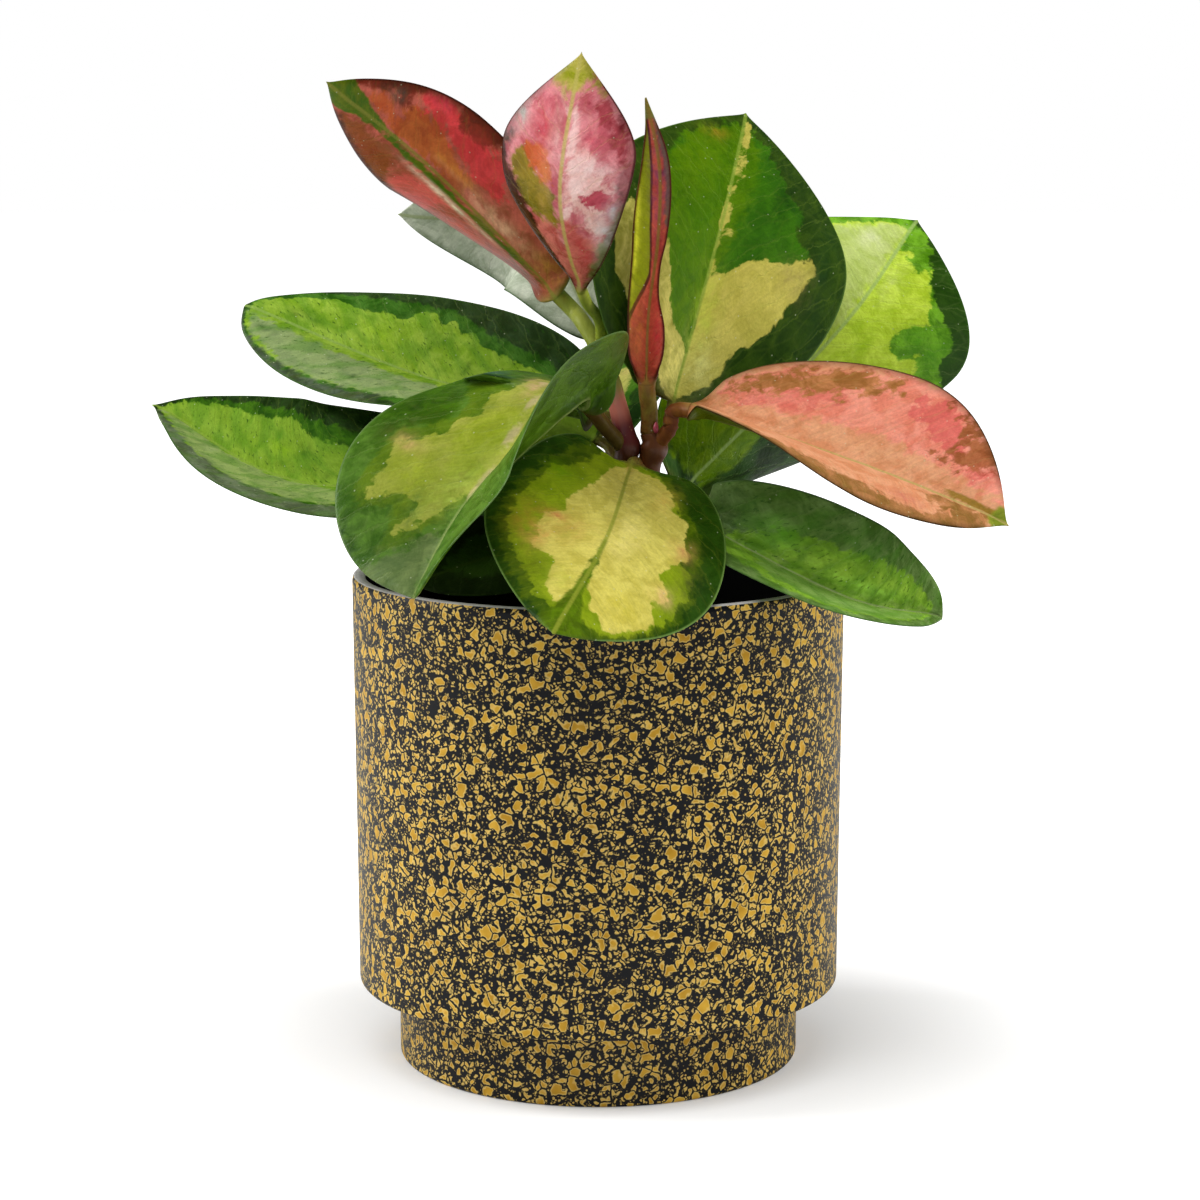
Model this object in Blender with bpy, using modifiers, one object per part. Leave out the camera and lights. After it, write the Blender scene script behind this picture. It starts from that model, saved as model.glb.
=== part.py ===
"""Potted hoya: a variegated wax plant in a nursery pot, standing in a speckled cover pot.

Lengths in the tables below are millimetres and angles are degrees; MM turns them into metres.
The origin is the centre of the cover pot's foot, on its flat underside, and +Z is up.
The plant's showy side faces -Y.
"""
import math

import bmesh
import bpy
from mathutils import Vector

MM = 0.001
FIT_GAP = 0.3            # clearance between pieces that touch
CUTTER_GAP = 0.318       # the same on a faceted round, whose flats lie nearer than its corners

# Cover pot: a straight drum on a narrower foot, with a bare rounded lip.
POT_HEIGHT = 140.0
POT_LIP_RADIUS = 70.0
POT_DRUM_RADIUS = 69.1   # at the underside of the drum; the wall flares a little upwards
POT_FOOT_RADIUS = 57.6
POT_FOOT_HEIGHT = 22.3
POT_WALL = 4.0
POT_FLOOR = 8.0
POT_EDGE = 0.9           # small rounding of the drum's and the foot's outer edges
POT_STEPS = 56

# Grow pot: the thin black nursery pot that stands inside the cover pot.
GROW_HEIGHT = 108.0
GROW_RIM_RADIUS = 60.0
GROW_TOP_RADIUS = 56.5
GROW_BASE_RADIUS = 44.0
GROW_WALL = 1.2
GROW_RIM_DROP = 9.0
GROW_STEPS = 40
DRAIN_HOLES = 6
DRAIN_RADIUS = 3.5
DRAIN_RING = 28.0
DRAIN_CUT = 7.0          # length of the rod that cuts a hole through the base

# Potting soil: fills the grow pot to a little below its rim.
SOIL_BELOW_RIM = 7.0
SOIL_MOUND = 3.0         # how much higher the soil stands around the stems
SOIL_SLOPE = ((12.0, 1.0), (26.0, 0.6), (42.0, 0.0))   # radius and share of the mound's height
SOIL_EDGE = 1.5          # rounding where the soil meets the grow pot

# Leaves and stems.
LEAF_THICKNESS = 1.4
THIN_HALF = 10.0         # blades thin out where their half width falls below this
RIB_SHARE = 0.9          # height of the midrib under the blade's base, in stalk radii
RIB_SPREAD = 1.6         # its half width, in midrib heights
STALK_FADE = 0.12        # share of the blade over which the round stalk fades out
BLADE_START = 0.08       # share of the blade over which it flattens
RING_POINTS = 12         # points around every leaf and stem section
BLADE_RINGS = 12         # sections along a blade
STALK_RINGS = 3          # sections along each stretch of a leaf stalk
STEM_RINGS = 4           # sections along each stretch of a stem

# Each stem: the points of its centre line from the soil up, and its radius at each point.
STEMS = {
    "left": {
        "line": [(6, -2, 96), (6.6, -2.2, 140), (7.2, -2.6, 168), (7.9, -3, 177), (4.6, -3.3, 191),
                 (2, -3.9, 200), (1, -4.6, 206.5)],
        "radius": [3.0, 3.0, 3.1, 3.2, 2.5, 2.2, 1.9],
    },
    "right": {
        "line": [(14, -2, 96), (14, -2.2, 140), (13.9, -2.5, 166), (15.6, -3, 176), (14.6, -3, 180)],
        "radius": [3.1, 3.1, 3.2, 3.3, 2.8],
    },
    "back": {
        "line": [(9, 9.5, 96), (9.3, 10.5, 135), (10.5, 11.2, 155), (10.8, 11.3, 164)],
        "radius": [2.9, 2.8, 2.6, 2.0],
    },
}

# Plain colours of the leaves, as linear red, green and blue.
PINK = (0.62, 0.16, 0.13)
SALMON = (0.80, 0.33, 0.22)
GREEN = (0.09, 0.22, 0.03)
LIME = (0.24, 0.42, 0.06)
GREY_GREEN = (0.12, 0.20, 0.09)
DARK_GREEN = (0.03, 0.10, 0.015)

# Each leaf grows from the named stem. "stalk" holds the points of the leaf stalk, "blade" the points
# of the midrib from the blade's base to its tip. "facing" gives the way the upper face looks, from
# base to tip, as (azimuth, elevation): azimuth 0 looks along -Y and turns towards +X. "half" holds
# the widest half width left and right of the midrib, seen from above with the tip pointing away,
# and "outline" is (place of the widest section, base power, tip power, share that tapers to a tip);
# "widths" gives both sides' half widths at even steps instead. "fold" lifts each half at the
# midrib and "curl" bends it on towards its margin; both are ((left at base, left at tip), (right
# at base, right at tip)). "touches" names any other stem that the leaf leans against.
LEAVES = {
    "pink_leaf_left": {
        "stem": "left", "stalk_radius": 2.3, "colour": PINK,
        "stalk": [(1.9, -3.9, 200.5), (-4, 2, 210)],
        "blade": [(-11.4, 8, 218), (-47.3, -6.5, 255), (-74.7, -12, 277.5)],
        "facing": [(-68, 40), (-29, -6)],
        "half": (21, 21), "outline": (0.38, 0.53, 0.81, 0.024),
        "fold": ((-17, -8), (-12, 0)), "curl": ((-23, -17), (-21, -12)),
    },
    "pink_leaf_centre": {
        "stem": "left", "stalk_radius": 1.6, "colour": PINK,
        "stalk": [(1, -4.6, 206.7), (0.1, -8.5, 212.5)],
        "blade": [(-4.5, -16, 220.5), (-10, -36, 247.5), (-4.3, -36.5, 285)],
        "facing": [(-30, 0), (-15, 10)],
        "half": (20, 20), "outline": (0.66, 0.99, 1.24, 0.012),
        "fold": ((-5, -2), (1, 1)), "curl": ((-17, -15), (-13, -12)),
    },
    "rolled_young_leaf": {
        "stem": "right", "stalk_radius": 2.4, "colour": PINK,
        "stalk": [(14.5, -3, 180), (14.3, -5, 187)],
        "blade": [(13.6, -7.7, 194.1), (14.1, -9.5, 214.5), (16.6, -8.5, 234.4), (16.9, -8, 254.4),
                  (13, -10.6, 273.3)],
        "facing": [(-8, 4), (2, 10)],
        "widths": ((0.6, 5.6, 6.6, 7.0, 7.4, 7.7, 7.4, 6.2, 4.4, 1.9, 0.2),
                   (0.6, 5.6, 6.0, 3.1, 1.8, 2.7, 3.2, 3.2, 2.7, 1.5, 0.2)),
        "fold": ((25, 0), (25, 0)), "curl": ((35, 0), (35, 0)),
    },
    "large_back_leaf": {
        "stem": "right", "stalk_radius": 1.3, "colour": GREEN,
        "stalk": [(16, -2.5, 176), (19.5, 2, 181)],
        "blade": [(21, 6, 187.8), (34.1, 11, 235), (42.1, 20, 269.2)],
        "facing": [(20, 2), (20, 13)],
        "half": (43, 43), "outline": (0.45, 0.55, 0.80, 0.024),
        "fold": ((25, 3), (10, -6)), "curl": ((4, -11), (-6, -18)),
    },
    "far_right_leaf": {
        "stem": "back", "stalk_radius": 1.9, "colour": LIME,
        "stalk": [(12, 11, 147), (17, 20, 151)],
        "blade": [(23.5, 31, 158.5), (70.5, 37.5, 206), (95, 51.5, 238)],
        "facing": [(60, 0), (4, 35)],
        "half": (38, 38), "outline": (0.63, 0.45, 0.97, 0.012),
        "fold": ((-30, 0), (-8, 2)), "curl": ((-14, -14), (-18, -12)),
    },
    "salmon_leaf_right": {
        "stem": "right", "stalk_radius": 2.2, "colour": SALMON,
        "stalk": [(15.5, -3, 175), (20, -6, 181)],
        "blade": [(26, -9.3, 186.7), (71.5, -27.5, 173.4), (110.4, -48.5, 159.3)],
        "facing": [(9, 69), (0, 47)],
        "half": (32.5, 32.5), "outline": (0.52, 0.61, 0.85, 0.030),
        "fold": ((32, 18), (42, 23)), "curl": ((-5, -8), (-8, -4)),
    },
    "right_lower_leaf": {
        "stem": "right", "stalk_radius": 1.8, "colour": GREEN,
        "stalk": [(14, -2.5, 158), (20, -5, 157)],
        "blade": [(25.6, -9, 156), (66, -49, 139.8), (92.3, -54, 135)],
        "facing": [(-14, 53), (21, 49)],
        "half": (23, 23.5), "outline": (0.40, 0.45, 0.49, 0.008),
        "fold": ((57, 32), (34, 35)), "curl": ((15, 5), (1, 3)),
    },
    "front_round_leaf": {
        "stem": "right", "touches": ("left",), "stalk_radius": 1.8, "colour": LIME,
        "stalk": [(13.8, -2.7, 166.3), (11.5, -6, 170)],
        "blade": [(9, -10, 170.8), (1.7, -59, 156.4), (-11.6, -93.5, 137.4)],
        "facing": [(15.5, 56), (0, 31)],
        "half": (33, 33), "outline": (0.52, 0.44, 0.95, 0.018),
        "fold": ((12, -14), (30, -5)), "curl": ((-6, -22), (5, -18)),
    },
    "left_twisted_leaf": {
        "stem": "left", "stalk_radius": 2.2, "colour": LIME,
        "stalk": [(7.8, -3, 175), (2, -8, 182)],
        "blade": [(-3.5, -16, 189), (-7, -35, 191.5), (-34.5, -58, 167), (-47.5, -82, 144.7)],
        "facing": [(54, 45), (46, 65), (51, 43), (17, 31)],
        "half": (26.7, 40), "outline": (0.49, 0.64, 0.48, 0.012),
        "fold": ((76, 86), (-5, -21)), "curl": ((0, 0), (-13, -20)),
    },
    "left_upper_leaf": {
        "stem": "left", "stalk_radius": 2.0, "colour": GREEN,
        "stalk": [(7.6, -3, 176), (4, 0, 180)],
        "blade": [(-0.5, 4, 184.3), (-48.5, 8.5, 194), (-102, 19, 214.4)],
        "facing": [(8, 49), (-9, 54)],
        "half": (28, 28), "outline": (0.54, 0.43, 0.52, 0.008),
        "fold": ((48, 3), (40, -5)), "curl": ((14, -11), (11, -18)),
    },
    "left_lower_leaf": {
        "stem": "left", "stalk_radius": 2.0, "colour": GREEN,
        "stalk": [(7.1, -2.5, 163), (-2, -3.5, 166)],
        "blade": [(-11, -4, 167), (-81, -21, 167.4), (-124.4, -13, 188.8)],
        "facing": [(15, 42), (5, 66)],
        "half": (27, 27), "outline": (0.57, 0.67, 0.80, 0.024),
        "fold": ((24, 23), (21, 15)), "curl": ((4, 4), (3, -2)),
    },
    "grey_back_leaf": {
        "stem": "left", "stalk_radius": 1.5, "colour": GREY_GREEN,
        "stalk": [(4, -3.2, 193), (1.5, 5, 197)],
        "blade": [(-1, 16, 205.3), (-18.4, 28, 234.6), (-58.8, 36, 240)],
        "facing": [(190, 21), (182, 22)],
        "half": (19, 19), "outline": (0.52, 0.70, 0.91, 0.018),
        "fold": ((5, 5), (0, 0)), "curl": ((-10, -10), (-14, -12)),
    },
    "inner_low_leaf": {
        "stem": "left", "stalk_radius": 1.6, "colour": DARK_GREEN,
        "stalk": [(6.7, -2.4, 145), (2, -7, 148)],
        "blade": [(-4, -12, 149.5), (-26, -30, 149), (-50, -46, 143)],
        "facing": [(-5, 60), (-8, 50)],
        "half": (18, 18), "outline": (0.50, 0.53, 0.73, 0.018),
        "fold": ((12, 5), (12, 5)), "curl": ((-8, -12), (-8, -12)),
    },
    "inner_lime_leaf": {
        "stem": "left", "stalk_radius": 1.5, "colour": LIME,
        "stalk": [(7.1, -2.5, 168), (4, 4, 173)],
        "blade": [(0, 9, 176.5), (-20, 22, 182), (-42, 36, 180)],
        "facing": [(-15, 40), (-20, 55)],
        "half": (18, 18), "outline": (0.50, 0.53, 0.73, 0.018),
        "fold": ((12, 5), (12, 5)), "curl": ((-8, -12), (-8, -12)),
    },
    "back_centre_leaf": {
        "stem": "back", "stalk_radius": 1.8, "colour": DARK_GREEN,
        "stalk": [(10.5, 11.3, 159), (8, 16, 168)],
        "blade": [(6.5, 22, 176.5), (-2, 51, 189), (-10, 81, 191)],
        "facing": [(-8, 55), (0, 62)],
        "half": (26, 26), "outline": (0.57, 0.79, 0.74, 0.018),
        "fold": ((14, 6), (14, 6)), "curl": ((-8, -12), (-8, -12)),
    },
    "back_left_low_leaf": {
        "stem": "back", "stalk_radius": 1.8, "colour": GREEN,
        "stalk": [(9.5, 10.8, 140), (2, 14, 145)],
        "blade": [(-6, 20, 150), (-38, 46, 160), (-72, 66, 158)],
        "facing": [(-20, 60), (-25, 65)],
        "half": (25, 25), "outline": (0.50, 0.53, 0.73, 0.018),
        "fold": ((14, 6), (14, 6)), "curl": ((-8, -12), (-8, -12)),
    },
    "back_right_low_leaf": {
        "stem": "back", "stalk_radius": 1.8, "colour": GREEN,
        "stalk": [(9.5, 10.8, 136), (16, 16, 142)],
        "blade": [(22, 26, 145), (36, 56, 149), (42, 84, 143)],
        "facing": [(15, 66), (20, 74)],
        "half": (25, 25), "outline": (0.50, 0.53, 0.73, 0.018),
        "fold": ((14, 6), (14, 6)), "curl": ((-8, -12), (-8, -12)),
    },
}

# Leaves whose margins curl so close that their trim needs the manifold solver.
CLOSE_CURLED_LEAVES = ("front_round_leaf",)

# Buds: small pointed growths that sit on a stem, as (centre, radius, length, colour).
BUDS = {
    "axil_bud": {"centre": (16.2, -6.7, 181.7), "radius": 0.9, "length": 3.2, "colour": PINK},
}


def clear_scene():
    for old in list(bpy.data.objects):
        bpy.data.objects.remove(old, do_unlink=True)


def new_collection(name):
    collection = bpy.data.collections.new(name)
    bpy.context.scene.collection.children.link(collection)
    return collection


def new_material(name, colour, roughness, metallic=0.0):
    material = bpy.data.materials.new(name)
    material.use_nodes = True
    shader = material.node_tree.nodes["Principled BSDF"]
    shader.inputs["Base Color"].default_value = (*colour, 1.0)
    shader.inputs["Roughness"].default_value = roughness
    shader.inputs["Metallic"].default_value = metallic
    return material


def new_object(name, bm, collection, material=None):
    mesh = bpy.data.meshes.new(name)
    bm.to_mesh(mesh)
    bm.free()
    mesh.shade_smooth()
    mesh.set_sharp_from_angle(angle=math.radians(40))
    piece = bpy.data.objects.new(name, mesh)
    if material:
        mesh.materials.append(material)
    collection.objects.link(piece)
    return piece


def smooth_step(low, high, value):
    x = min(max((value - low) / (high - low), 0.0), 1.0)
    return x * x * (3.0 - 2.0 * x)


def curve_point(points, place):
    """Point of the smooth curve through the points; place runs from 0 to len(points) - 1."""
    index = min(max(int(math.floor(place)), 0), len(points) - 2)
    f = place - index
    start, end = Vector(points[index]), Vector(points[index + 1])
    before = Vector(points[index - 1]) if index > 0 else 2 * start - end
    after = Vector(points[index + 2]) if index + 2 < len(points) else 2 * end - start
    return 0.5 * (2 * start + (end - before) * f + (2 * before - 5 * start + 4 * end - after) * f ** 2
                  + (3 * start - before - 3 * end + after) * f ** 3)


def curve_direction(points, place):
    last = len(points) - 1
    step = 0.001
    return (curve_point(points, min(place + step, last))
            - curve_point(points, max(place - step, 0.0))).normalized()


def loft(rings):
    """Closed skin over a run of equal rings, with a flat cap at both ends."""
    bm = bmesh.new()
    loops = [[bm.verts.new(point * MM) for point in ring] for ring in rings]
    count = len(loops[0])
    for low, high in zip(loops, loops[1:]):
        for i in range(count):
            j = (i + 1) % count
            bm.faces.new((low[i], low[j], high[j], high[i]))
    bm.faces.new(list(reversed(loops[0])))
    bm.faces.new(loops[-1])
    bmesh.ops.recalc_face_normals(bm, faces=bm.faces[:])
    return bm


def round_ring(centre, right, normal, radius):
    angles = [2 * math.pi * i / RING_POINTS for i in range(RING_POINTS)]
    return [centre + radius * (right * math.cos(a) + normal * math.sin(a)) for a in angles]


def stem_rings(stem, extra=0.0):
    """Round sections along a stem; extra makes it that much fatter and longer at the top."""
    line, radius = list(stem["line"]), stem["radius"]
    if extra:
        top = Vector(line[-1]) + curve_direction(line, len(line) - 1) * extra
        line[-1] = tuple(top)
    rings = []
    for i in range((len(line) - 1) * STEM_RINGS + 1):
        place = i / STEM_RINGS
        index = min(int(place), len(line) - 2)
        f = place - index
        along = curve_direction(line, place)
        normal = along.cross(Vector((1, 0, 0))).normalized()
        size = radius[index] * (1 - f) + radius[index + 1] * f + extra
        rings.append(round_ring(curve_point(line, place), normal.cross(along), normal, size))
    return rings


def facing_vector(azimuth, elevation):
    a, e = math.radians(azimuth), math.radians(elevation)
    return (math.sin(a) * math.cos(e), -math.cos(a) * math.cos(e), math.sin(e))


def blade_frame(leaf, t):
    """Midrib point, direction, upper-face normal and rightward direction at t, 0 at the base."""
    line = [leaf["stalk"][-1]] + leaf["blade"]
    place = 1 + t * (len(line) - 2)
    along = curve_direction(line, place)
    views = [facing_vector(*view) for view in leaf["facing"]]
    view = curve_point(views, t * (len(views) - 1))
    normal = (view - along * view.dot(along)).normalized()
    return curve_point(line, place), along, normal, along.cross(normal)


def outline_width(outline, t):
    """Fraction of the widest half width at t, for an oval blade that ends in a point."""
    widest, base_power, tip_power, taper = outline
    if t < widest:
        width = math.sin(math.pi / 2 * t / widest) ** base_power
    else:
        width = math.sin(math.pi / 2 * (1 - t) / (1 - widest)) ** tip_power
    return width * (1 - math.exp((t - 1) / taper))


def blade_half_width(leaf, side, t):
    """Half width in millimetres on side 0, left of the midrib, or 1, right of it."""
    if "widths" in leaf:
        steps = [(width, 0.0, 0.0) for width in leaf["widths"][side]]
        return curve_point(steps, t * (len(steps) - 1)).x
    return leaf["half"][side] * outline_width(leaf["outline"], t)


def half_section(side, half_width, fold, curl):
    """Offset across and up, and the surface angle, at the fraction side of one half."""
    curl = curl if abs(curl) > 0.001 else 0.001
    angle = fold + curl * side
    across = half_width * (math.sin(angle) - math.sin(fold)) / curl
    up = half_width * (math.cos(fold) - math.cos(angle)) / curl
    return across, up, angle


def at_share(pair, t):
    """Angle in radians at t, from degrees at the base and at the tip."""
    return math.radians(pair[0] + (pair[1] - pair[0]) * t)


def blade_ring(leaf, t):
    """Closed section of the blade: round where the stalk runs in, then thin with a midrib below."""
    centre, along, normal, right = blade_frame(leaf, t)
    stalk = leaf["stalk_radius"]
    root = stalk * (1 - smooth_step(0.0, STALK_FADE, t))
    blade_share = smooth_step(0.0, BLADE_START, t)
    rib = max(stalk * RIB_SHARE * (1 - t) ** 0.8, 0.01)
    ring = []
    for i in range(RING_POINTS):
        turn = 2 * math.pi * i / RING_POINTS
        c, s = math.cos(turn), math.sin(turn)
        k = 0 if c < 0 else 1
        sign = -1 if c < 0 else 1
        half_width = math.hypot(blade_half_width(leaf, k, t), root)
        fold = at_share(leaf["fold"][k], t) * blade_share
        curl = at_share(leaf["curl"][k], t) * blade_share
        across, up, angle = half_section(abs(c), half_width, fold, curl)
        out = normal * math.cos(angle) - right * (sign * math.sin(angle))
        flat = 0.5 * LEAF_THICKNESS * math.sqrt(1 - c ** 4) * min(1.0, 0.25 + half_width / THIN_HALF)
        reach = min(abs(c) * half_width / (RIB_SPREAD * rib), 1.0)
        ridge = rib * math.cos(reach * math.pi / 2) ** 2 if s < 0 else 0.0
        height = stalk * abs(s) * (1 - blade_share) + (flat + ridge) * blade_share
        ring.append(centre + right * (sign * across) + normal * up + out * math.copysign(height, s))
    return ring


def leaf_rings(leaf):
    line = leaf["stalk"] + leaf["blade"]
    stretches = len(leaf["stalk"])
    normal = blade_frame(leaf, 0.0)[2]
    rings = []
    for i in range(stretches * STALK_RINGS):
        place = i / STALK_RINGS
        along = curve_direction(line, place)
        level = (normal - along * normal.dot(along)).normalized()
        rings.append(round_ring(curve_point(line, place), along.cross(level), level, leaf["stalk_radius"]))
    for i in range(BLADE_RINGS):
        even = i / BLADE_RINGS
        crowded = 0.5 - 0.5 * math.cos(math.pi * even)
        rings.append(blade_ring(leaf, 0.4 * even + 0.6 * crowded))
    rings.append(blade_ring(leaf, 0.997))
    return rings


def add_cut(piece, cutter, solver="EXACT"):
    cut = piece.modifiers.new("trim to " + cutter.name, "BOOLEAN")
    cut.operation = "DIFFERENCE"
    cut.solver = solver
    cut.object = cutter


def make_cutter(name, bm, collection):
    cutter = new_object(name, bm, collection)
    cutter.hide_render = True
    cutter.display_type = "WIRE"
    return cutter


def turned(name, profile, steps, collection, material):
    """Body of revolution about Z from (radius, height) points that run down its outer side."""
    mesh = bpy.data.meshes.new(name)
    points = [(radius * MM, 0.0, height * MM) for radius, height in profile]
    mesh.from_pydata(points, [(i, i + 1) for i in range(len(points) - 1)], [])
    mesh.materials.append(material)
    piece = bpy.data.objects.new(name, mesh)
    collection.objects.link(piece)
    screw = piece.modifiers.new("turn", "SCREW")
    screw.axis = "Z"
    screw.steps = steps
    screw.render_steps = steps
    screw.use_merge_vertices = True
    screw.merge_threshold = 0.00005
    screw.use_smooth_shade = True
    return piece


def arc(centre, radius, start, end, count):
    """Points of an arc in a turned profile, from the start angle to the end angle."""
    angles = [math.radians(start + (end - start) * i / count) for i in range(count + 1)]
    return [(centre[0] + radius * math.cos(a), centre[1] + radius * math.sin(a)) for a in angles]


def build_cover_pot(collection):
    inner_top = POT_LIP_RADIUS - POT_WALL
    inner_drum = POT_DRUM_RADIUS - POT_WALL
    inner_foot = POT_FOOT_RADIUS - POT_WALL
    shelf = POT_FOOT_HEIGHT + POT_WALL
    lip = POT_WALL / 2
    profile = [(0, POT_FLOOR), (inner_foot, POT_FLOOR), (inner_foot, shelf), (inner_drum, shelf)]
    profile += [(inner_top, POT_HEIGHT - lip)]
    profile += arc((POT_LIP_RADIUS - lip, POT_HEIGHT - lip), lip, 135, 0, 3)
    profile += arc((POT_DRUM_RADIUS - POT_EDGE, POT_FOOT_HEIGHT + POT_EDGE), POT_EDGE, 0, -90, 2)
    profile += [(POT_FOOT_RADIUS, POT_FOOT_HEIGHT)]
    profile += arc((POT_FOOT_RADIUS - POT_EDGE, POT_EDGE), POT_EDGE, 0, -90, 2)
    profile += [(0, 0)]
    material = new_material("speckled glaze", (0.12, 0.09, 0.04), 0.55)
    turned("cover_pot", profile, POT_STEPS, collection, material)


def grow_pot_base():
    return POT_FLOOR + FIT_GAP


def grow_pot_inner_radius(height):
    """Inner radius of the grow pot at a height above its own base."""
    slope = (GROW_TOP_RADIUS - GROW_BASE_RADIUS) / GROW_HEIGHT
    return GROW_BASE_RADIUS + slope * height - GROW_WALL


def build_grow_pot(collection, cutters):
    base = grow_pot_base()
    top = base + GROW_HEIGHT
    profile = [(0, base + GROW_WALL), (grow_pot_inner_radius(GROW_WALL), base + GROW_WALL)]
    profile += [(grow_pot_inner_radius(GROW_HEIGHT), top - GROW_WALL)]
    profile += [(grow_pot_inner_radius(GROW_HEIGHT) + GROW_WALL / 2, top)]
    profile += [(GROW_RIM_RADIUS, top), (GROW_RIM_RADIUS, top - GROW_RIM_DROP)]
    profile += [(GROW_RIM_RADIUS - GROW_WALL, top - GROW_RIM_DROP)]
    profile += [(GROW_RIM_RADIUS - GROW_WALL, top - 2 * GROW_WALL)]
    profile += [(GROW_TOP_RADIUS, top - 2 * GROW_WALL)]
    profile += [(GROW_BASE_RADIUS, base), (0, base)]
    material = new_material("black nursery plastic", (0.012, 0.012, 0.013), 0.5)
    pot = turned("grow_pot", profile, GROW_STEPS, collection, material)
    bm = bmesh.new()
    for i in range(DRAIN_HOLES):
        turn = 2 * math.pi * (i + 0.5) / DRAIN_HOLES
        hole = bmesh.ops.create_cone(bm, cap_ends=True, segments=12, radius1=DRAIN_RADIUS * MM,
                                     radius2=DRAIN_RADIUS * MM, depth=DRAIN_CUT * MM)
        place = Vector((DRAIN_RING * math.cos(turn), DRAIN_RING * math.sin(turn), base + GROW_WALL / 2))
        bmesh.ops.translate(bm, verts=hole["verts"], vec=place * MM)
    add_cut(pot, make_cutter("drain_hole_cutter", bm, cutters))


def build_soil(collection, stem_cutters):
    base = grow_pot_base() + GROW_WALL + FIT_GAP
    depth = GROW_HEIGHT - GROW_WALL - SOIL_BELOW_RIM - FIT_GAP
    top = base + depth
    low = grow_pot_inner_radius(GROW_WALL + FIT_GAP) - FIT_GAP
    high = grow_pot_inner_radius(GROW_WALL + FIT_GAP + depth) - FIT_GAP
    profile = [(0, top + SOIL_MOUND)]
    profile += [(radius, top + share * SOIL_MOUND) for radius, share in SOIL_SLOPE]
    profile += [(high - SOIL_EDGE, top), (high, top - SOIL_EDGE), (low, base), (0, base)]
    material = new_material("potting soil", (0.02, 0.013, 0.009), 0.95)
    soil = turned("potting_soil", profile, GROW_STEPS, collection, material)
    for cutter in stem_cutters.values():
        add_cut(soil, cutter)


def build_stems(collection, cutters):
    """Stems, and a slightly fatter copy of each that trims the stalks and the soil to it."""
    material = new_material("stem bark", (0.20, 0.05, 0.03), 0.5)
    stem_cutters = {}
    for name, stem in STEMS.items():
        new_object("stem_" + name, loft(stem_rings(stem)), collection, material)
        start = Vector(stem["line"][0]) - Vector((0, 0, FIT_GAP))
        wider = dict(stem, line=[start] + stem["line"][1:])
        skin = loft(stem_rings(wider, CUTTER_GAP))
        stem_cutters[name] = make_cutter("stem_cutter_" + name, skin, cutters)
    return stem_cutters


def build_leaves(collection, stem_cutters):
    for name, leaf in LEAVES.items():
        material = new_material(name.replace("_", " "), leaf["colour"], 0.35)
        piece = new_object(name, loft(leaf_rings(leaf)), collection, material)
        solver = "MANIFOLD" if name in CLOSE_CURLED_LEAVES else "EXACT"
        for stem in (leaf["stem"],) + leaf.get("touches", ()):
            add_cut(piece, stem_cutters[stem], solver)


def build_buds(collection):
    for name, bud in BUDS.items():
        bm = bmesh.new()
        bmesh.ops.create_uvsphere(bm, u_segments=10, v_segments=6, radius=1.0)
        for vert in bm.verts:
            taper = 1.0 - 0.35 * max(vert.co.z, 0.0)
            across = bud["radius"] * taper
            vert.co = Vector((vert.co.x * across, vert.co.y * across, vert.co.z * bud["length"] / 2))
            vert.co = (vert.co + Vector(bud["centre"])) * MM
        new_object(name, bm, collection, new_material(name.replace("_", " "), bud["colour"], 0.4))


def main():
    clear_scene()
    parts = new_collection("potted hoya")
    cutters = new_collection("cutters")
    build_cover_pot(parts)
    build_grow_pot(parts, cutters)
    stem_cutters = build_stems(parts, cutters)
    build_soil(parts, stem_cutters)
    build_leaves(parts, stem_cutters)
    build_buds(parts)


main()
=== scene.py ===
"""Potted hoya: a variegated wax plant in a nursery pot, standing in a speckled cover pot.

The shape tables are in millimetres and degrees, as in the plant's own drawing, and every mesh is
made in metres at its place. The pot's foot stands on the floor at the origin, +Z is up, and the
plant's showy side faces -Y.
"""

import math
import random
from types import SimpleNamespace

import bmesh
import bpy
import numpy as np
from mathutils import Euler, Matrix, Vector, noise


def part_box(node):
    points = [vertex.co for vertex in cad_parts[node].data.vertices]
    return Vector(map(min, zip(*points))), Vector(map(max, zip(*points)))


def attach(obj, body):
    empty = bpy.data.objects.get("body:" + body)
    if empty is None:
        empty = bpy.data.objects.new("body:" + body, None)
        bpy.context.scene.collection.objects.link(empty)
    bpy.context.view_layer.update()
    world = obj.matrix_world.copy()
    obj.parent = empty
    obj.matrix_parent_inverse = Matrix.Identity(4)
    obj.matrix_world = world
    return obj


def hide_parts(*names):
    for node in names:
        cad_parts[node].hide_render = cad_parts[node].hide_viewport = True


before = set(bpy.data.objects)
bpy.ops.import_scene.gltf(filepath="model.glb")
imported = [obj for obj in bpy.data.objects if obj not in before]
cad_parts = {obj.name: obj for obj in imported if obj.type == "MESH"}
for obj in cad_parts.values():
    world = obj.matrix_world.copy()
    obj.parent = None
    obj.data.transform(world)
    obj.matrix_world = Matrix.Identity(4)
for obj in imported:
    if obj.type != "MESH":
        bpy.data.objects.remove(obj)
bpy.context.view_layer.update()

MM = 0.001

# ---------------------------------------------------------------------------------------------
# Shape of the plant
# ---------------------------------------------------------------------------------------------

LEAF_THICKNESS = 1.4
AROUND = 56              # corners round a leaf's section
BLADE_SECTIONS = 90
STALK_SECTIONS = 7       # sections along each stretch of a leaf stalk
STALK_FLAT = 12.0        # length given to a stalk on the leaf laid flat
VEIN_SPACING = 9.0       # between side veins, along the midrib
VEIN_SLOPE = 0.8         # how far a side vein climbs for each millimetre outwards
STEM_AROUND = 28         # corners round a stem's section
STEM_SECTIONS = 22       # sections along each stretch of a stem
FAR = 20.0               # the largest distance that a leaf's skin carries

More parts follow.
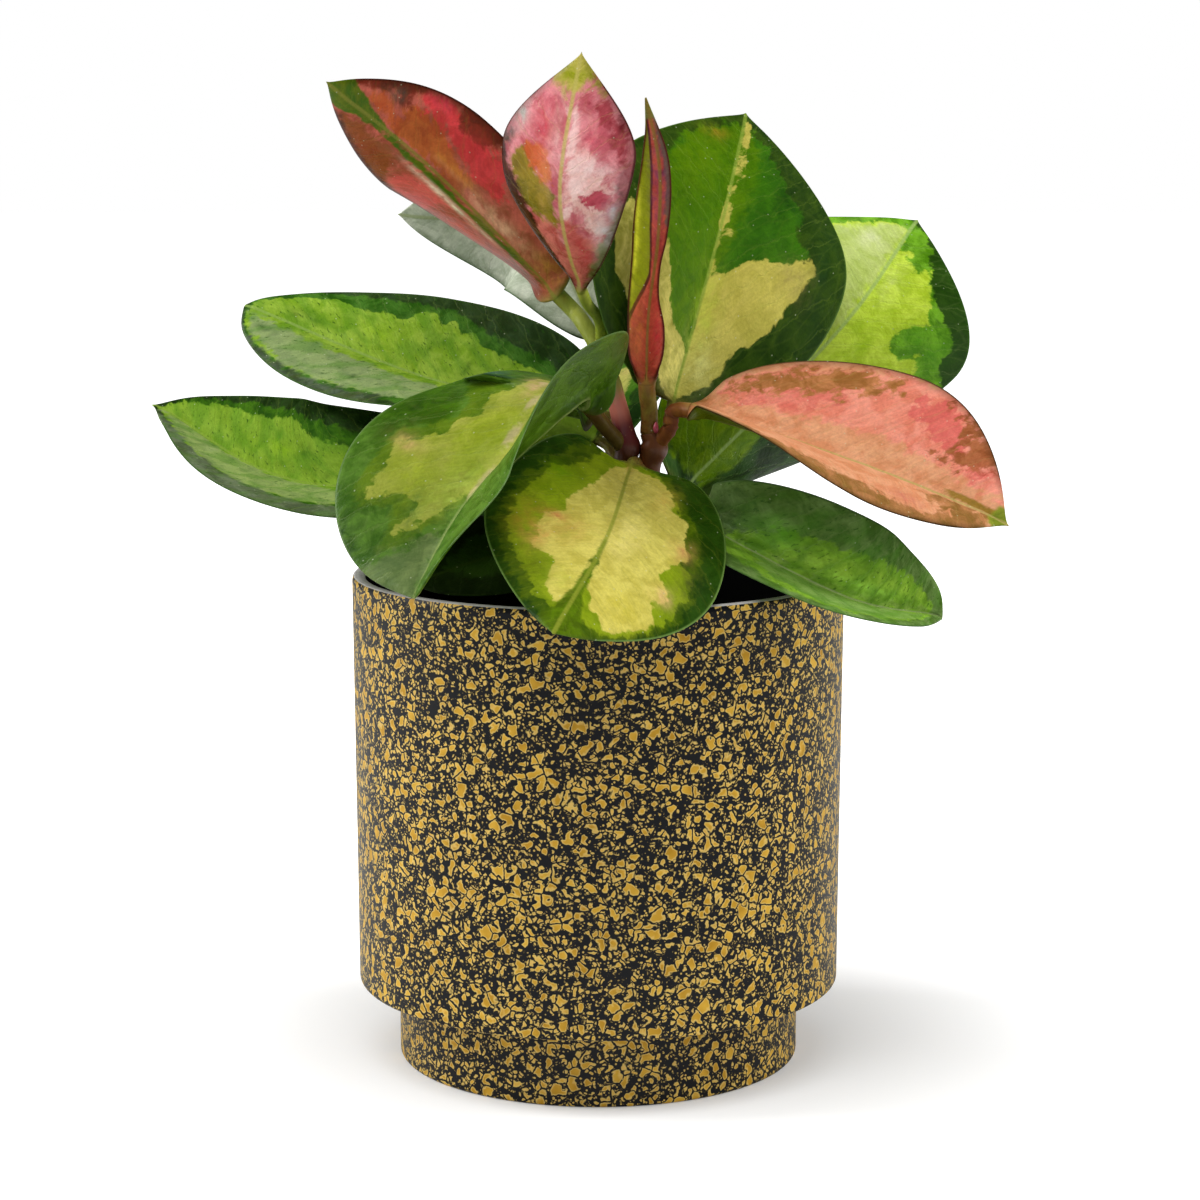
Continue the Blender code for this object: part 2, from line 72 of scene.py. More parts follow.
# Each leaf: its stalk and midrib, the way its upper face looks (azimuth, elevation) from base to
# tip, its widest half widths, its outline (place of the widest section, base power, tip power,
# share that tapers to a tip), or the half widths at even steps, and each half's fold and curl at
# the base and at the tip.
LEAVES = {
    "pink_leaf_left": {
        "stalk_radius": 2.3,
        "stalk": [(1.9, -3.9, 200.5), (-4, 2, 210)],
        "blade": [(-11.4, 8, 218), (-47.3, -6.5, 255), (-74.7, -12, 277.5)],
        "facing": [(-68, 40), (-29, -6)],
        "half": (21, 21), "outline": (0.38, 0.53, 0.81, 0.024),
        "fold": ((-17, -8), (-12, 0)), "curl": ((-23, -17), (-21, -12)),
    },
    "pink_leaf_centre": {
        "stalk_radius": 1.6,
        "stalk": [(1, -4.6, 206.7), (0.1, -8.5, 212.5)],
        "blade": [(-4.5, -16, 220.5), (-10, -36, 247.5), (-4.3, -36.5, 285)],
        "facing": [(-30, 0), (-15, 10)],
        "half": (20, 20), "outline": (0.66, 0.99, 1.24, 0.012),
        "fold": ((-5, -2), (1, 1)), "curl": ((-17, -15), (-13, -12)),
    },
    "rolled_young_leaf": {
        "stalk_radius": 2.4,
        "stalk": [(14.5, -3, 180), (14.3, -5, 187)],
        "blade": [(13.6, -7.7, 194.1), (14.1, -9.5, 214.5), (16.6, -8.5, 234.4), (16.9, -8, 254.4),
                  (13, -10.6, 273.3)],
        "facing": [(-8, 4), (2, 10)],
        "widths": ((0.6, 5.6, 6.6, 7.0, 7.4, 7.7, 7.4, 6.2, 4.4, 1.9, 0.2),
                   (0.6, 5.6, 6.0, 3.1, 1.8, 2.7, 3.2, 3.2, 2.7, 1.5, 0.2)),
        "fold": ((25, 0), (25, 0)), "curl": ((35, 0), (35, 0)),
    },
    "large_back_leaf": {
        "stalk_radius": 1.3,
        "stalk": [(16, -2.5, 176), (19.5, 2, 181)],
        "blade": [(21, 6, 187.8), (34.1, 11, 235), (42.1, 20, 269.2)],
        "facing": [(20, 2), (20, 13)],
        "half": (43, 43), "outline": (0.45, 0.55, 0.80, 0.024),
        "fold": ((25, 3), (10, -6)), "curl": ((4, -11), (-6, -18)),
    },
    "far_right_leaf": {
        "stalk_radius": 1.9,
        "stalk": [(12, 11, 147), (17, 20, 151)],
        "blade": [(23.5, 31, 158.5), (70.5, 37.5, 206), (95, 51.5, 238)],
        "facing": [(60, 0), (4, 35)],
        "half": (38, 38), "outline": (0.63, 0.45, 0.97, 0.012),
        "fold": ((-30, 0), (-8, 2)), "curl": ((-14, -14), (-18, -12)),
    },
    "salmon_leaf_right": {
        "stalk_radius": 2.2,
        "stalk": [(15.5, -3, 175), (20, -6, 181)],
        "blade": [(26, -9.3, 186.7), (71.5, -27.5, 173.4), (110.4, -48.5, 159.3)],
        "facing": [(9, 69), (0, 47)],
        "half": (32.5, 32.5), "outline": (0.52, 0.61, 0.85, 0.030),
        "fold": ((32, 18), (42, 23)), "curl": ((-5, -8), (-8, -4)),
    },
    "right_lower_leaf": {
        "stalk_radius": 1.8,
        "stalk": [(14, -2.5, 158), (20, -5, 157)],
        "blade": [(25.6, -9, 156), (66, -49, 139.8), (92.3, -54, 135)],
        "facing": [(-14, 53), (21, 49)],
        "half": (23, 23.5), "outline": (0.40, 0.45, 0.49, 0.008),
        "fold": ((57, 32), (34, 35)), "curl": ((15, 5), (1, 3)),
    },
    "front_round_leaf": {
        "stalk_radius": 1.8,
        "stalk": [(13.8, -2.7, 166.3), (11.5, -6, 170)],
        "blade": [(9, -10, 170.8), (1.7, -59, 156.4), (-11.6, -93.5, 137.4)],
        "facing": [(15.5, 56), (0, 31)],
        "half": (33, 33), "outline": (0.52, 0.44, 0.95, 0.018),
        "fold": ((12, -14), (30, -5)), "curl": ((-6, -22), (5, -18)),
    },
    "left_twisted_leaf": {
        "stalk_radius": 2.2,
        "stalk": [(7.8, -3, 175), (2, -8, 182)],
        "blade": [(-3.5, -16, 189), (-7, -35, 191.5), (-34.5, -58, 167), (-47.5, -82, 144.7)],
        "facing": [(54, 45), (46, 65), (51, 43), (17, 31)],
        "half": (26.7, 40), "outline": (0.49, 0.64, 0.48, 0.012),
        "fold": ((76, 86), (-5, -21)), "curl": ((0, 0), (-13, -20)),
    },
    "left_upper_leaf": {
        "stalk_radius": 2.0,
        "stalk": [(7.6, -3, 176), (4, 0, 180)],
        "blade": [(-0.5, 4, 184.3), (-48.5, 8.5, 194), (-102, 19, 214.4)],
        "facing": [(8, 49), (-9, 54)],
        "half": (28, 28), "outline": (0.54, 0.43, 0.52, 0.008),
        "fold": ((48, 3), (40, -5)), "curl": ((14, -11), (11, -18)),
    },
    "left_lower_leaf": {
        "stalk_radius": 2.0,
        "stalk": [(7.1, -2.5, 163), (-2, -3.5, 166)],
        "blade": [(-11, -4, 167), (-81, -21, 167.4), (-124.4, -13, 188.8)],
        "facing": [(15, 42), (5, 66)],
        "half": (27, 27), "outline": (0.57, 0.67, 0.80, 0.024),
        "fold": ((24, 23), (21, 15)), "curl": ((4, 4), (3, -2)),
    },
    "grey_back_leaf": {
        "stalk_radius": 1.5,
        "stalk": [(4, -3.2, 193), (1.5, 5, 197)],
        "blade": [(-1, 16, 205.3), (-18.4, 28, 234.6), (-58.8, 36, 240)],
        "facing": [(190, 21), (182, 22)],
        "half": (19, 19), "outline": (0.52, 0.70, 0.91, 0.018),
        "fold": ((5, 5), (0, 0)), "curl": ((-10, -10), (-14, -12)),
    },
    "inner_low_leaf": {
        "stalk_radius": 1.6,
        "stalk": [(6.7, -2.4, 145), (2, -7, 148)],
        "blade": [(-4, -12, 149.5), (-26, -30, 149), (-50, -46, 143)],
        "facing": [(-5, 60), (-8, 50)],
        "half": (18, 18), "outline": (0.50, 0.53, 0.73, 0.018),
        "fold": ((12, 5), (12, 5)), "curl": ((-8, -12), (-8, -12)),
    },
    "inner_lime_leaf": {
        "stalk_radius": 1.5,
        "stalk": [(7.1, -2.5, 168), (4, 4, 173)],
        "blade": [(0, 9, 176.5), (-20, 22, 182), (-42, 36, 180)],
        "facing": [(-15, 40), (-20, 55)],
        "half": (18, 18), "outline": (0.50, 0.53, 0.73, 0.018),
        "fold": ((12, 5), (12, 5)), "curl": ((-8, -12), (-8, -12)),
    },
    "back_centre_leaf": {
        "stalk_radius": 1.8,
        "stalk": [(10.5, 11.3, 159), (8, 16, 168)],
        "blade": [(6.5, 22, 176.5), (-2, 51, 189), (-10, 81, 191)],
        "facing": [(-8, 55), (0, 62)],
        "half": (26, 26), "outline": (0.57, 0.79, 0.74, 0.018),
        "fold": ((14, 6), (14, 6)), "curl": ((-8, -12), (-8, -12)),
    },
    "back_left_low_leaf": {
        "stalk_radius": 1.8,
        "stalk": [(9.5, 10.8, 140), (2, 14, 145)],
        "blade": [(-6, 20, 150), (-38, 46, 160), (-72, 66, 158)],
        "facing": [(-20, 60), (-25, 65)],
        "half": (25, 25), "outline": (0.50, 0.53, 0.73, 0.018),
        "fold": ((14, 6), (14, 6)), "curl": ((-8, -12), (-8, -12)),
    },
    "back_right_low_leaf": {
        "stalk_radius": 1.8,
        "stalk": [(9.5, 10.8, 136), (16, 16, 142)],
        "blade": [(22, 26, 145), (36, 56, 149), (42, 84, 143)],
        "facing": [(15, 66), (20, 74)],
        "half": (25, 25), "outline": (0.50, 0.53, 0.73, 0.018),
        "fold": ((14, 6), (14, 6)), "curl": ((-8, -12), (-8, -12)),
    },
}

# Each stem: the points of its centre line from the soil up, its radius there, and the heights of
# its nodes, the swollen rings that the leaves grow from.
STEMS = {
    "stem_left": {
        "line": [(6, -2, 97), (6.6, -2.2, 140), (7.2, -2.6, 168), (7.9, -3, 177), (4.6, -3.3, 191),
                 (2, -3.9, 200), (1, -4.6, 206.4)],
        "radius": [3.0, 3.0, 3.1, 3.1, 2.5, 2.2, 1.8],
        "nodes": [(124, 0.5), (145, 0.6), (166, 0.8), (176, 0.9), (193, 0.4), (201.5, 0.6)],
        "look": "left stem",
    },
    "stem_right": {
        "line": [(14, -2, 97), (14, -2.2, 140), (13.9, -2.5, 166), (15.6, -3, 176), (14.6, -3, 179.9)],
        "radius": [3.1, 3.1, 3.2, 3.2, 2.8],
        "nodes": [(120, 0.5), (142, 0.5), (158, 0.7), (167, 0.8), (175.5, 1.0)],
        "look": "right stem",
    },
    "stem_back": {
        "line": [(9, 9.5, 97), (9.3, 10.5, 135), (10.5, 11.2, 155), (10.8, 11.3, 163.9)],
        "radius": [2.9, 2.8, 2.6, 2.0],
        "nodes": [(118, 0.5), (137, 0.7), (147, 0.6), (159, 0.7)],
        "look": "right stem",
    },
}


def smooth_step(low, high, value):
    x = min(max((value - low) / (high - low), 0.0), 1.0)
    return x * x * (3.0 - 2.0 * x)


def curve_point(points, place):
    """Point of the smooth curve through the points; place runs from 0 to len(points) - 1."""
    index = min(max(int(math.floor(place)), 0), len(points) - 2)
    f = place - index
    start, end = Vector(points[index]), Vector(points[index + 1])
    before = Vector(points[index - 1]) if index > 0 else 2 * start - end
    after = Vector(points[index + 2]) if index + 2 < len(points) else 2 * end - start
    return 0.5 * (2 * start + (end - before) * f + (2 * before - 5 * start + 4 * end - after) * f ** 2
                  + (3 * start - before - 3 * end + after) * f ** 3)


def curve_direction(points, place):
    last = len(points) - 1
    step = 0.001
    return (curve_point(points, min(place + step, last))
            - curve_point(points, max(place - step, 0.0))).normalized()


def facing_vector(azimuth, elevation):
    a, e = math.radians(azimuth), math.radians(elevation)
    return (math.sin(a) * math.cos(e), -math.cos(a) * math.cos(e), math.sin(e))


def blade_frame(leaf, t):
    """Midrib point, direction, upper-face normal and rightward direction at t, 0 at the base."""
    line = [leaf["stalk"][-1]] + leaf["blade"]
    place = 1 + t * (len(line) - 2)
    along = curve_direction(line, place)
    views = [facing_vector(*view) for view in leaf["facing"]]
    view = curve_point(views, t * (len(views) - 1))
    normal = (view - along * view.dot(along)).normalized()
    return curve_point(line, place), along, normal, along.cross(normal)


def outline_width(outline, t):
    """Fraction of the widest half width at t, for an oval blade that ends in a point."""
    widest, base_power, tip_power, taper = outline
    if t < widest:
        width = math.sin(math.pi / 2 * t / widest) ** base_power
    else:
        width = math.sin(math.pi / 2 * (1 - t) / (1 - widest)) ** tip_power
    return width * (1 - math.exp((t - 1) / taper))


def side_of(c):
    """0 left of the midrib and 1 right of it."""
    return 0 if c < 0 else 1


def blade_half_width(leaf, side, t):
    """Half width in millimetres at t, on one side of the midrib."""
    if "widths" in leaf:
        steps = [(width, 0.0, 0.0) for width in leaf["widths"][side]]
        return curve_point(steps, t * (len(steps) - 1)).x
    return leaf["half"][side] * outline_width(leaf["outline"], t)


def angle_at(pair, t):
    """Angle in radians at t, from degrees at the base and at the tip."""
    return math.radians(pair[0] + (pair[1] - pair[0]) * t)


def blade_length(leaf):
    points = [blade_frame(leaf, i / 60)[0] for i in range(61)]
    return sum((b - a).length for a, b in zip(points, points[1:]))


# ---------------------------------------------------------------------------------------------
# Making meshes
# ---------------------------------------------------------------------------------------------

def finished(name, bm, sharp=None):
    mesh = bpy.data.meshes.new(name)
    bm.to_mesh(mesh)
    bm.free()
    mesh.shade_smooth()
    if sharp:
        mesh.set_sharp_from_angle(angle=math.radians(sharp))
    piece = bpy.data.objects.new(name, mesh)
    bpy.context.scene.collection.objects.link(piece)
    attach(piece, "root")
    return piece


def closed_tube(name, around, along, place):
    """A closed skin from a grid whose columns go round and whose rows go along.

    place(turn, row) gives a point in millimetres and a dict of what the point carries: a number
    or three numbers for each named attribute.
    """
    bm = bmesh.new()
    kinds = {1: bm.verts.layers.float, 3: bm.verts.layers.float_vector}
    layers = {key: kinds[len(value)].new(key) for key, value in place(0, 0)[1].items()}
    bmesh.ops.create_grid(bm, x_segments=around, y_segments=along, size=1.0)
    for vert in bm.verts:
        turn = round((vert.co.x + 1) / 2 * around)
        row = round((vert.co.y + 1) / 2 * along)
        point, carried = place(turn % around, row)
        vert.co = point * MM
        for key, value in carried.items():
            vert[layers[key]] = value if len(value) == 3 else value[0]
    bmesh.ops.remove_doubles(bm, verts=bm.verts[:], dist=1e-7)
    bmesh.ops.holes_fill(bm, edges=[e for e in bm.edges if e.is_boundary], sides=0)
    bmesh.ops.recalc_face_normals(bm, faces=bm.faces[:])
    return finished(name, bm)


def rounded(corners, steps=5):
    """Profile with each (radius, height, rounding, band) corner rounded off."""
    points = []
    for i, (r, z, size, band) in enumerate(corners):
        if not size or i in (0, len(corners) - 1):
            points.append((r, z, band))
            continue
        here = Vector((r, z))
        before = (Vector(corners[i - 1][:2]) - here).normalized() * size
        after = (Vector(corners[i + 1][:2]) - here).normalized() * size
        for k in range(steps + 1):
            f = k / steps
            spot = here + before * (1 - f) ** 2 + after * f ** 2
            points.append((spot.x, spot.y, band))
    return points


def band_at(profile, centre):
    """Band of the stretch of the profile whose middle is nearest to a face's centre."""
    radius, height = math.hypot(centre.x, centre.y) / MM, centre.z / MM

    def gap(stretch):
        (r0, z0, _), (r1, z1, _) = stretch
        return abs((r0 + r1) / 2 - radius) + abs((z0 + z1) / 2 - height)

    return min(zip(profile, profile[1:]), key=gap)[0][2]


def corners_as_number(face, count):
    first, second, third = sorted(vert.index for vert in face.verts)[:3]
    return (first * count + second) * count + third


def turned(name, profile, steps, materials):
    """Body of revolution about Z; profile holds (radius, height, material of the band above)."""
    bm = bmesh.new()
    verts = [bm.verts.new((radius * MM, 0, height * MM)) for radius, height, _ in profile]
    edges = [bm.edges.new(pair) for pair in zip(verts, verts[1:])]
    bmesh.ops.spin(bm, geom=verts + edges, cent=(0, 0, 0), axis=(0, 0, 1), angle=2 * math.pi, steps=steps,
                   use_merge=True)
    bmesh.ops.remove_doubles(bm, verts=bm.verts[:], dist=1e-6)
    bmesh.ops.recalc_face_normals(bm, faces=bm.faces[:])
    # Spin leaves the faces in an order that changes from run to run.
    bm.verts.index_update()
    bm.faces.sort(key=lambda face: corners_as_number(face, len(bm.verts)))
    for face in bm.faces:
        face.material_index = band_at(profile, face.calc_center_median())
    piece = finished(name, bm, sharp=35)
    for material in materials:
        piece.data.materials.append(material)
    return piece


# ---------------------------------------------------------------------------------------------
# Colour zones of the leaves
# ---------------------------------------------------------------------------------------------

# Everything here is drawn on the leaf laid flat: x across from the midrib, to the right with the
# tip away, and y along the midrib from the base, in millimetres. A zone is (two tones, softness
# of its edge, raggedness, outline), and a later one lies over an earlier one. A tint is a soft
# spot (x, y, reach across, reach along, colour, strength).
GREEN_UNDERSIDE = ("#4a6a12", "#5d7a2c")
OLIVE_STALK = ("#6a6a2a", "#5a4a20")
DARK_GROUND = ("#1c3a0c", "#284c12")

LOOKS = {
    "pink_leaf_left": {
        "ground": ("#9c4a34", "#cc6654"), "rib": "#80802c", "edge": "#34150c", "edge_width": 3.4,
        "under": ("#8a6a4a", "#77603a"), "stalk": ("#8a963a", "#98a044"), "roughness": 0.34,
        "zones": [
            ("#85441a", "#964c22", 1.6, 2.6, [(-19, 47), (-14, 50), (-8, 52), (-4, 55), (-4, 70), (-5, 80),
             (-9, 78), (-14, 70), (-18, 58), (-21, 50)]),
            ("#d65751", "#e7645c", 1.6, 2.4, [(-20, 34), (-19, 44), (-14, 49), (-8, 47), (-5, 40), (-6, 33),
             (-12, 34)]),
            ("#a5481a", "#c06229", 1.2, 3.2, [(1, 34), (5, 34), (8, 40), (9, 46), (12, 50), (11, 58),
             (8, 62), (4, 60), (1, 62)]),
            ("#c63633", "#e84749", 0.9, 2.6, [(6, 28), (10, 28), (14, 31), (17, 36), (18, 44), (18, 52),
             (16, 58), (13, 61), (11, 58), (12, 50), (9, 44), (7, 36)]),
            ("#602913", "#8e311d", 1.2, 2.4, [(24, 34), (19.5, 36), (15, 38), (14, 42), (15, 47),
             (17.5, 49), (17.5, 54), (15.5, 59), (12, 62), (9, 60), (8, 64), (11, 67), (8.5, 71), (7, 75),
             (5, 79), (4, 84), (24, 80)]),
            ("#bb5126", "#c86133", 1.0, 2.0, [(1.5, 60), (3, 68), (4, 74), (7, 73), (8, 68), (6, 64),
             (5, 61)]),
            ("#4c2210", "#603018", 1.2, 1.6, [(-24, 20), (-20, 24), (-19.6, 34), (-18.6, 44), (-16.6, 54),
             (-13.6, 63), (-9.6, 72), (-5.4, 79), (-8, 84), (-24, 70)]),
            ("#3e6204", "#5c6c08", 0.5, 0.8, [(-1, 4), (-3, 20), (-3.4, 40), (-3, 52), (-2, 60), (-2, 68),
             (-3, 76), (-5, 82), (-4, 90), (4, 92), (6, 82), (4.5, 76), (2.5, 70), (0.5, 62), (-0.6, 50),
             (-1, 36), (0.3, 16)]),
        ],
        "tints": [(-4.6, 32, 0.9, 14, "#fff9da", 0.8), (3, 24, 2.5, 9, "#ffcaa4", 0.7),
                  (-12, 26, 6, 6, "#db4e27", 0.6), (5, 40, 1.2, 8, "#e1912d", 0.6),
                  # The grey-brown tint at (10, 66) is a painted sheen spot.
                  (10, 66, 2.2, 3, "#534b3e", 0.8), (13, 40, 3, 4, "#cb252d", 0.6),
                  (16, 54, 2, 4, "#d23f53", 0.6), (-6, 8, 5, 7, "#5d1a09", 0.6),
                  (4, 8, 4, 7, "#ce9234", 0.6), (-10, 62, 4, 6, "#8f3a1b", 0.6),
                  (-14, 42, 3, 4, "#bf4c3c", 0.6), (5, 54, 2.5, 3, "#76290c", 0.6)],
    },
    "pink_leaf_centre": {
        "ground": ("#b6545e", "#da8a8e"), "rib": "#b9ae5c", "edge": "#3a140c", "edge_width": 3.8,
        "under": ("#a06a50", "#8d6b48"), "stalk": ("#98a43a", "#84923a"), "roughness": 0.28,
        "zones": [
            ("#b04a46", "#d07066", 1.8, 2.4, [(-13, 30), (-8, 27), (-3, 30), (-1, 22), (1, 30), (4, 27),
             (8, 22), (7, 12), (2, 2), (-2, 2), (-6, 10), (-10, 20)]),
            ("#6e620e", "#907a1c", 1.0, 2.0, [(-17, 44), (-13, 48), (-9, 44), (-5, 38), (-2, 36), (-1, 28),
             (-4, 26), (-9, 29), (-14, 33)]),
            ("#b85422", "#cc7040", 1.0, 2.0, [(-12, 49), (-8, 49), (-3, 44), (-2, 38), (-6, 40),
             (-10, 43)]),
            ("#dca49c", "#f0ccc6", 2.0, 3.4, [(1, 30), (1, 58), (4, 52), (9, 46), (13, 42), (16, 36),
             (15, 29), (11, 24), (7, 27), (4, 33)]),
            ("#8c3036", "#b04c54", 1.0, 2.2, [(5, 60), (9, 62), (13, 59), (17, 54), (18, 46), (15, 47),
             (13, 53), (9, 57)]),
            ("#a83446", "#c04c5a", 0.8, 2.4, [(6, 36), (11, 39), (17, 37), (15, 33), (9, 33)]),
            ("#311002", "#4f1e09", 1.0, 1.6, [(-24, 60), (-17, 60), (-18.6, 54), (-18.8, 48), (-16.5, 42),
             (-13, 35), (-10, 27), (-6.5, 18), (-2.6, 8), (0, 1), (-6, -2), (-24, 20)]),
            ("#585e29", "#809256", 1.0, 1.4, [(0, 0), (2.5, 6), (5.5, 12), (8, 18), (12, 25), (16, 33),
             (20, 36), (20, 16), (8, -4)]),
            ("#8a9018", "#b6ac4c", 1.6, 2.6, [(-8, 64), (-4, 63), (-1, 61), (2, 64), (5, 65), (8, 63),
             (5, 70), (0, 76), (-5, 70)]),
        ],
        # The grey tint at (-15, 56) and the grey-white ones at (12, 26) and (15, 32) are painted sheen.
        "tints": [(-15, 56, 3, 4.4, "#a8a49c", 1.0), (-17.6, 50, 1.6, 4, "#33201a", 0.9),
                  (-12, 62, 3, 1.8, "#58221c", 0.8), (-7, 54, 4, 5, "#c8404e", 0.7),
                  (-3, 52, 1.2, 8, "#ecc4bc", 0.7), (7, 52, 4, 4, "#dc6474", 0.6),
                  (12, 26, 2.2, 5, "#ddd2d2", 0.9), (9, 44, 5, 3, "#eed0cc", 0.7),
                  (13, 30, 2, 2.4, "#b83c4c", 0.7), (5, 19, 2.4, 4, "#cc3c48", 0.6),
                  (-14, 43, 2.6, 3, "#5c4408", 0.6), (-7, 46, 2, 2.6, "#d87050", 0.6),
                  (-7, 62, 3, 2, "#d87884", 0.6), (14, 58, 2.4, 5, "#5a1418", 0.9),
                  (17, 40, 1.4, 6, "#4c1416", 0.8), (15, 32, 1.6, 5, "#d8d4d8", 0.7),
                  (9, 16, 1.6, 5, "#9ca08c", 0.8), (-5, 34, 1, 6, "#c89c50", 0.6)],
    },
    "rolled_young_leaf": {
        "ground": ("#b14434", "#d35d45"), "rib": "#8a7430", "edge": "#4a1a12", "edge_width": 0.9,
        "under": ("#7b8422", "#8a8c2e"), "stalk": ("#6f4a22", "#7c6a2c"), "roughness": 0.3,
        "zones": [
            ("#5a2a18", "#4c2012", 0.25, 0.1, [(-20, 13), (-6.9, 16), (-4.4, 21), (-2.4, 25), (-0.9, 29),
             (-1.3, 34), (-2.1, 42), (-2.4, 52), (-1.9, 62), (-0.8, 72), (0, 84), (-20, 84)]),
            ("#818c0b", "#8b950f", 0.25, 0.1, [(-20, 14), (-7.6, 17), (-5.1, 22), (-3.1, 26), (-1.6, 30),
             (-2, 34), (-2.8, 42), (-3.1, 52), (-2.6, 62), (-1.5, 72), (-0.8, 84), (-20, 84)]),
            ("#77684f", "#6a5c44", 0.6, 0.8, [(1.6, 44), (5, 44), (5, 72), (0.4, 76), (1.0, 66),
             (1.8, 56)]),
            ("#6f7a2e", "#7e8434", 0.8, 0.8, [(-4, 74), (4, 74), (3, 86), (-3, 86)]),
        ],
        "tints": [(0, 55, 3, 16, "#753a5e", 0.6), (0, 2, 6, 4, "#2b2703", 0.8),
                  (3, 14, 2, 8, "#db1a37", 0.5), (-3, 14, 2, 8, "#da833a", 0.5),
                  (-7, 45, 1.2, 30, "#ffff42", 0.6)],
    },
    "large_back_leaf": {
        "ground": ("#223c0b", "#334d0d"), "rib": "#86a038", "edge": "#4a6a24", "edge_width": 0.6,
        "under": GREEN_UNDERSIDE, "stalk": ("#6f6a2a", "#5e4a1e"), "roughness": 0.38,
        "zones": [
            ("#2d5e09", "#3a6e09", 1.0, 2.6, [(1, 80), (6, 78), (9, 76), (12, 71), (16, 66), (18, 61),
             (24, 58), (23, 53), (25, 48), (29, 44), (22, 38), (10, 30), (0, 10), (-12, 18), (-21, 34),
             (-23, 58), (-20, 68), (-12, 76), (-5, 80)]),
            ("#426d01", "#537b02", 1.2, 2.6, [(-1, 80), (-6, 79), (-11, 75), (-16, 72), (-21, 62),
             (-20, 44), (-15, 28), (-9, 18), (0, 10), (2, 34), (5, 46), (8, 60), (7, 72), (3, 79)]),
            ("#b6ae4a", "#c8be59", 0.35, 1.1, [(0, 0), (3, 4), (6, 6), (9, 9), (11, 11), (12, 15), (13, 18),
             (17, 20), (21, 23), (24, 27), (26, 31), (28, 33), (29, 36), (31, 38), (32, 41), (30, 44),
             (27, 43), (22, 40), (17, 40), (12, 39), (9, 37), (6, 34), (3, 33), (2, 36), (3.4, 39), (4, 43),
             (3.4, 48), (2, 51), (2.2, 54), (3, 60), (3.6, 66), (2.6, 72), (2.6, 78), (1.6, 82), (0.3, 82),
             (0.2, 60), (-1, 50), (0, 40), (0, 20)]),
            ("#97943a", "#cdc466", 0.35, 1.1, [(0, 0), (0, 14), (-2, 17), (-5, 19), (-8, 20), (-11, 24),
             (-13, 30), (-16, 36), (-22, 41), (-28, 43), (-32, 45), (-35, 35), (-32, 28), (-26, 22),
             (-18, 16), (-11, 9), (-4, 3)]),
        ],
        "tints": [(-8, 75, 4, 2.5, "#8e7a1b", 0.7), (-13, 62, 6, 10, "#5f8301", 0.6),
                  (-6, 44, 5, 12, "#417100", 0.6), (17, 58, 5, 7, "#052407", 0.6),
                  (9, 62, 4, 8, "#376c06", 0.6), (13, 48, 6, 5, "#305f10", 0.5),
                  (2, 24, 3, 10, "#bedf34", 0.5), (25, 37, 5, 4, "#998951", 0.5),
                  (-5, 10, 3, 6, "#fff388", 0.5), (34, 40, 4, 14, "#133814", 0.6),
                  (-15, 50, 4, 8, "#275200", 0.5), (5, 12, 4, 6, "#ffffa6", 0.4)],
    },
    "far_right_leaf": {
        "ground": ("#23440a", "#2e4f11"), "rib": "#a0bc6a", "edge": "#3d6420", "edge_width": 0.6,
        "under": GREEN_UNDERSIDE, "stalk": ("#6c7a2a", "#5e5a20"), "roughness": 0.36,
        "zones": [
            ("#50870c", "#78b325", 0.6, 1.6, [(-40, 112), (3, 107), (9, 101), (10, 97), (13, 92), (14, 88),
             (19, 84), (24, 81), (29, 79), (32, 74), (31, 70), (34, 67), (39, 63), (44, 50), (44, -10),
             (-44, -10)]),
            ("#aac826", "#cbe447", 0.5, 1.5, [(0, 104), (0.6, 92), (2, 93), (4, 97), (5.4, 95), (6, 90),
             (7.4, 88), (9, 89), (10, 93), (12, 94), (13, 91), (14, 87), (17, 84), (18, 80), (20, 77),
             (18, 74), (16, 72), (15, 69), (14, 66), (15, 62), (18, 60), (21, 62), (24, 66), (23, 70),
             (25, 68), (27, 64), (27, 58), (18, 48), (6, 40), (-18, 40), (-30, 60), (-28, 80), (-20, 91),
             (-13, 98), (-6, 103)]),
            # This pale whitish green zone left of the midrib is painted sheen over the lime.
            ("#adc15b", "#c4d37c", 1.4, 1.6, [(-0.8, 104), (-0.8, 44), (-14, 62), (-22, 78), (-19, 90),
             (-12, 97), (-6, 102)]),
            ("#587d01", "#779704", 1.6, 2.0, [(-44, 34), (-10, 30), (10, 34), (44, 42), (44, -10),
             (-44, -10)]),
            ("#1a3407", "#385b24", 1.6, 2.0, [(5, 30), (9, 20), (6, 8), (-8, 8), (-30, 12), (-44, -10),
             (44, -10), (44, 40)]),
            ("#4a7a1c", "#3c6c16", 0.3, 0.2, [(0.2, 0), (1.0, 0), (1.2, 46), (1.3, 92), (0.8, 106),
             (0.2, 106)]),
        ],
        # The pale tints left of the midrib, at (-9, 92), (-7, 78), (-4, 60) and (-17, 90), are painted sheen.
        "tints": [(4, 80, 3, 10, "#d3e179", 0.5), (8, 58, 6, 6, "#92ba02", 0.6),
                  (-9, 92, 5, 5, "#d8ddaa", 0.6), (-7, 78, 4, 8, "#b4c666", 0.6),
                  (28, 70, 4, 6, "#387f01", 0.5), (20, 70, 4, 4, "#479201", 0.5),
                  (-4, 60, 3, 8, "#b9cc59", 0.5), (-17, 90, 3, 3, "#abbe6a", 0.5)],
    },
    "salmon_leaf_right": {
        "ground": ("#cd865c", "#dea078"), "rib": "#b8a860", "edge": "#3a260e", "edge_width": 3.0,
        "under": ("#656f0b", "#6d7714"), "stalk": ("#7c4f23", "#6e3a1e"), "roughness": 0.42,
        "zones": [
            ("#d97a62", "#ea9680", 1.2, 3.6, [(-32, 62), (-32, 48), (-27, 34), (-22, 22), (-15, 12),
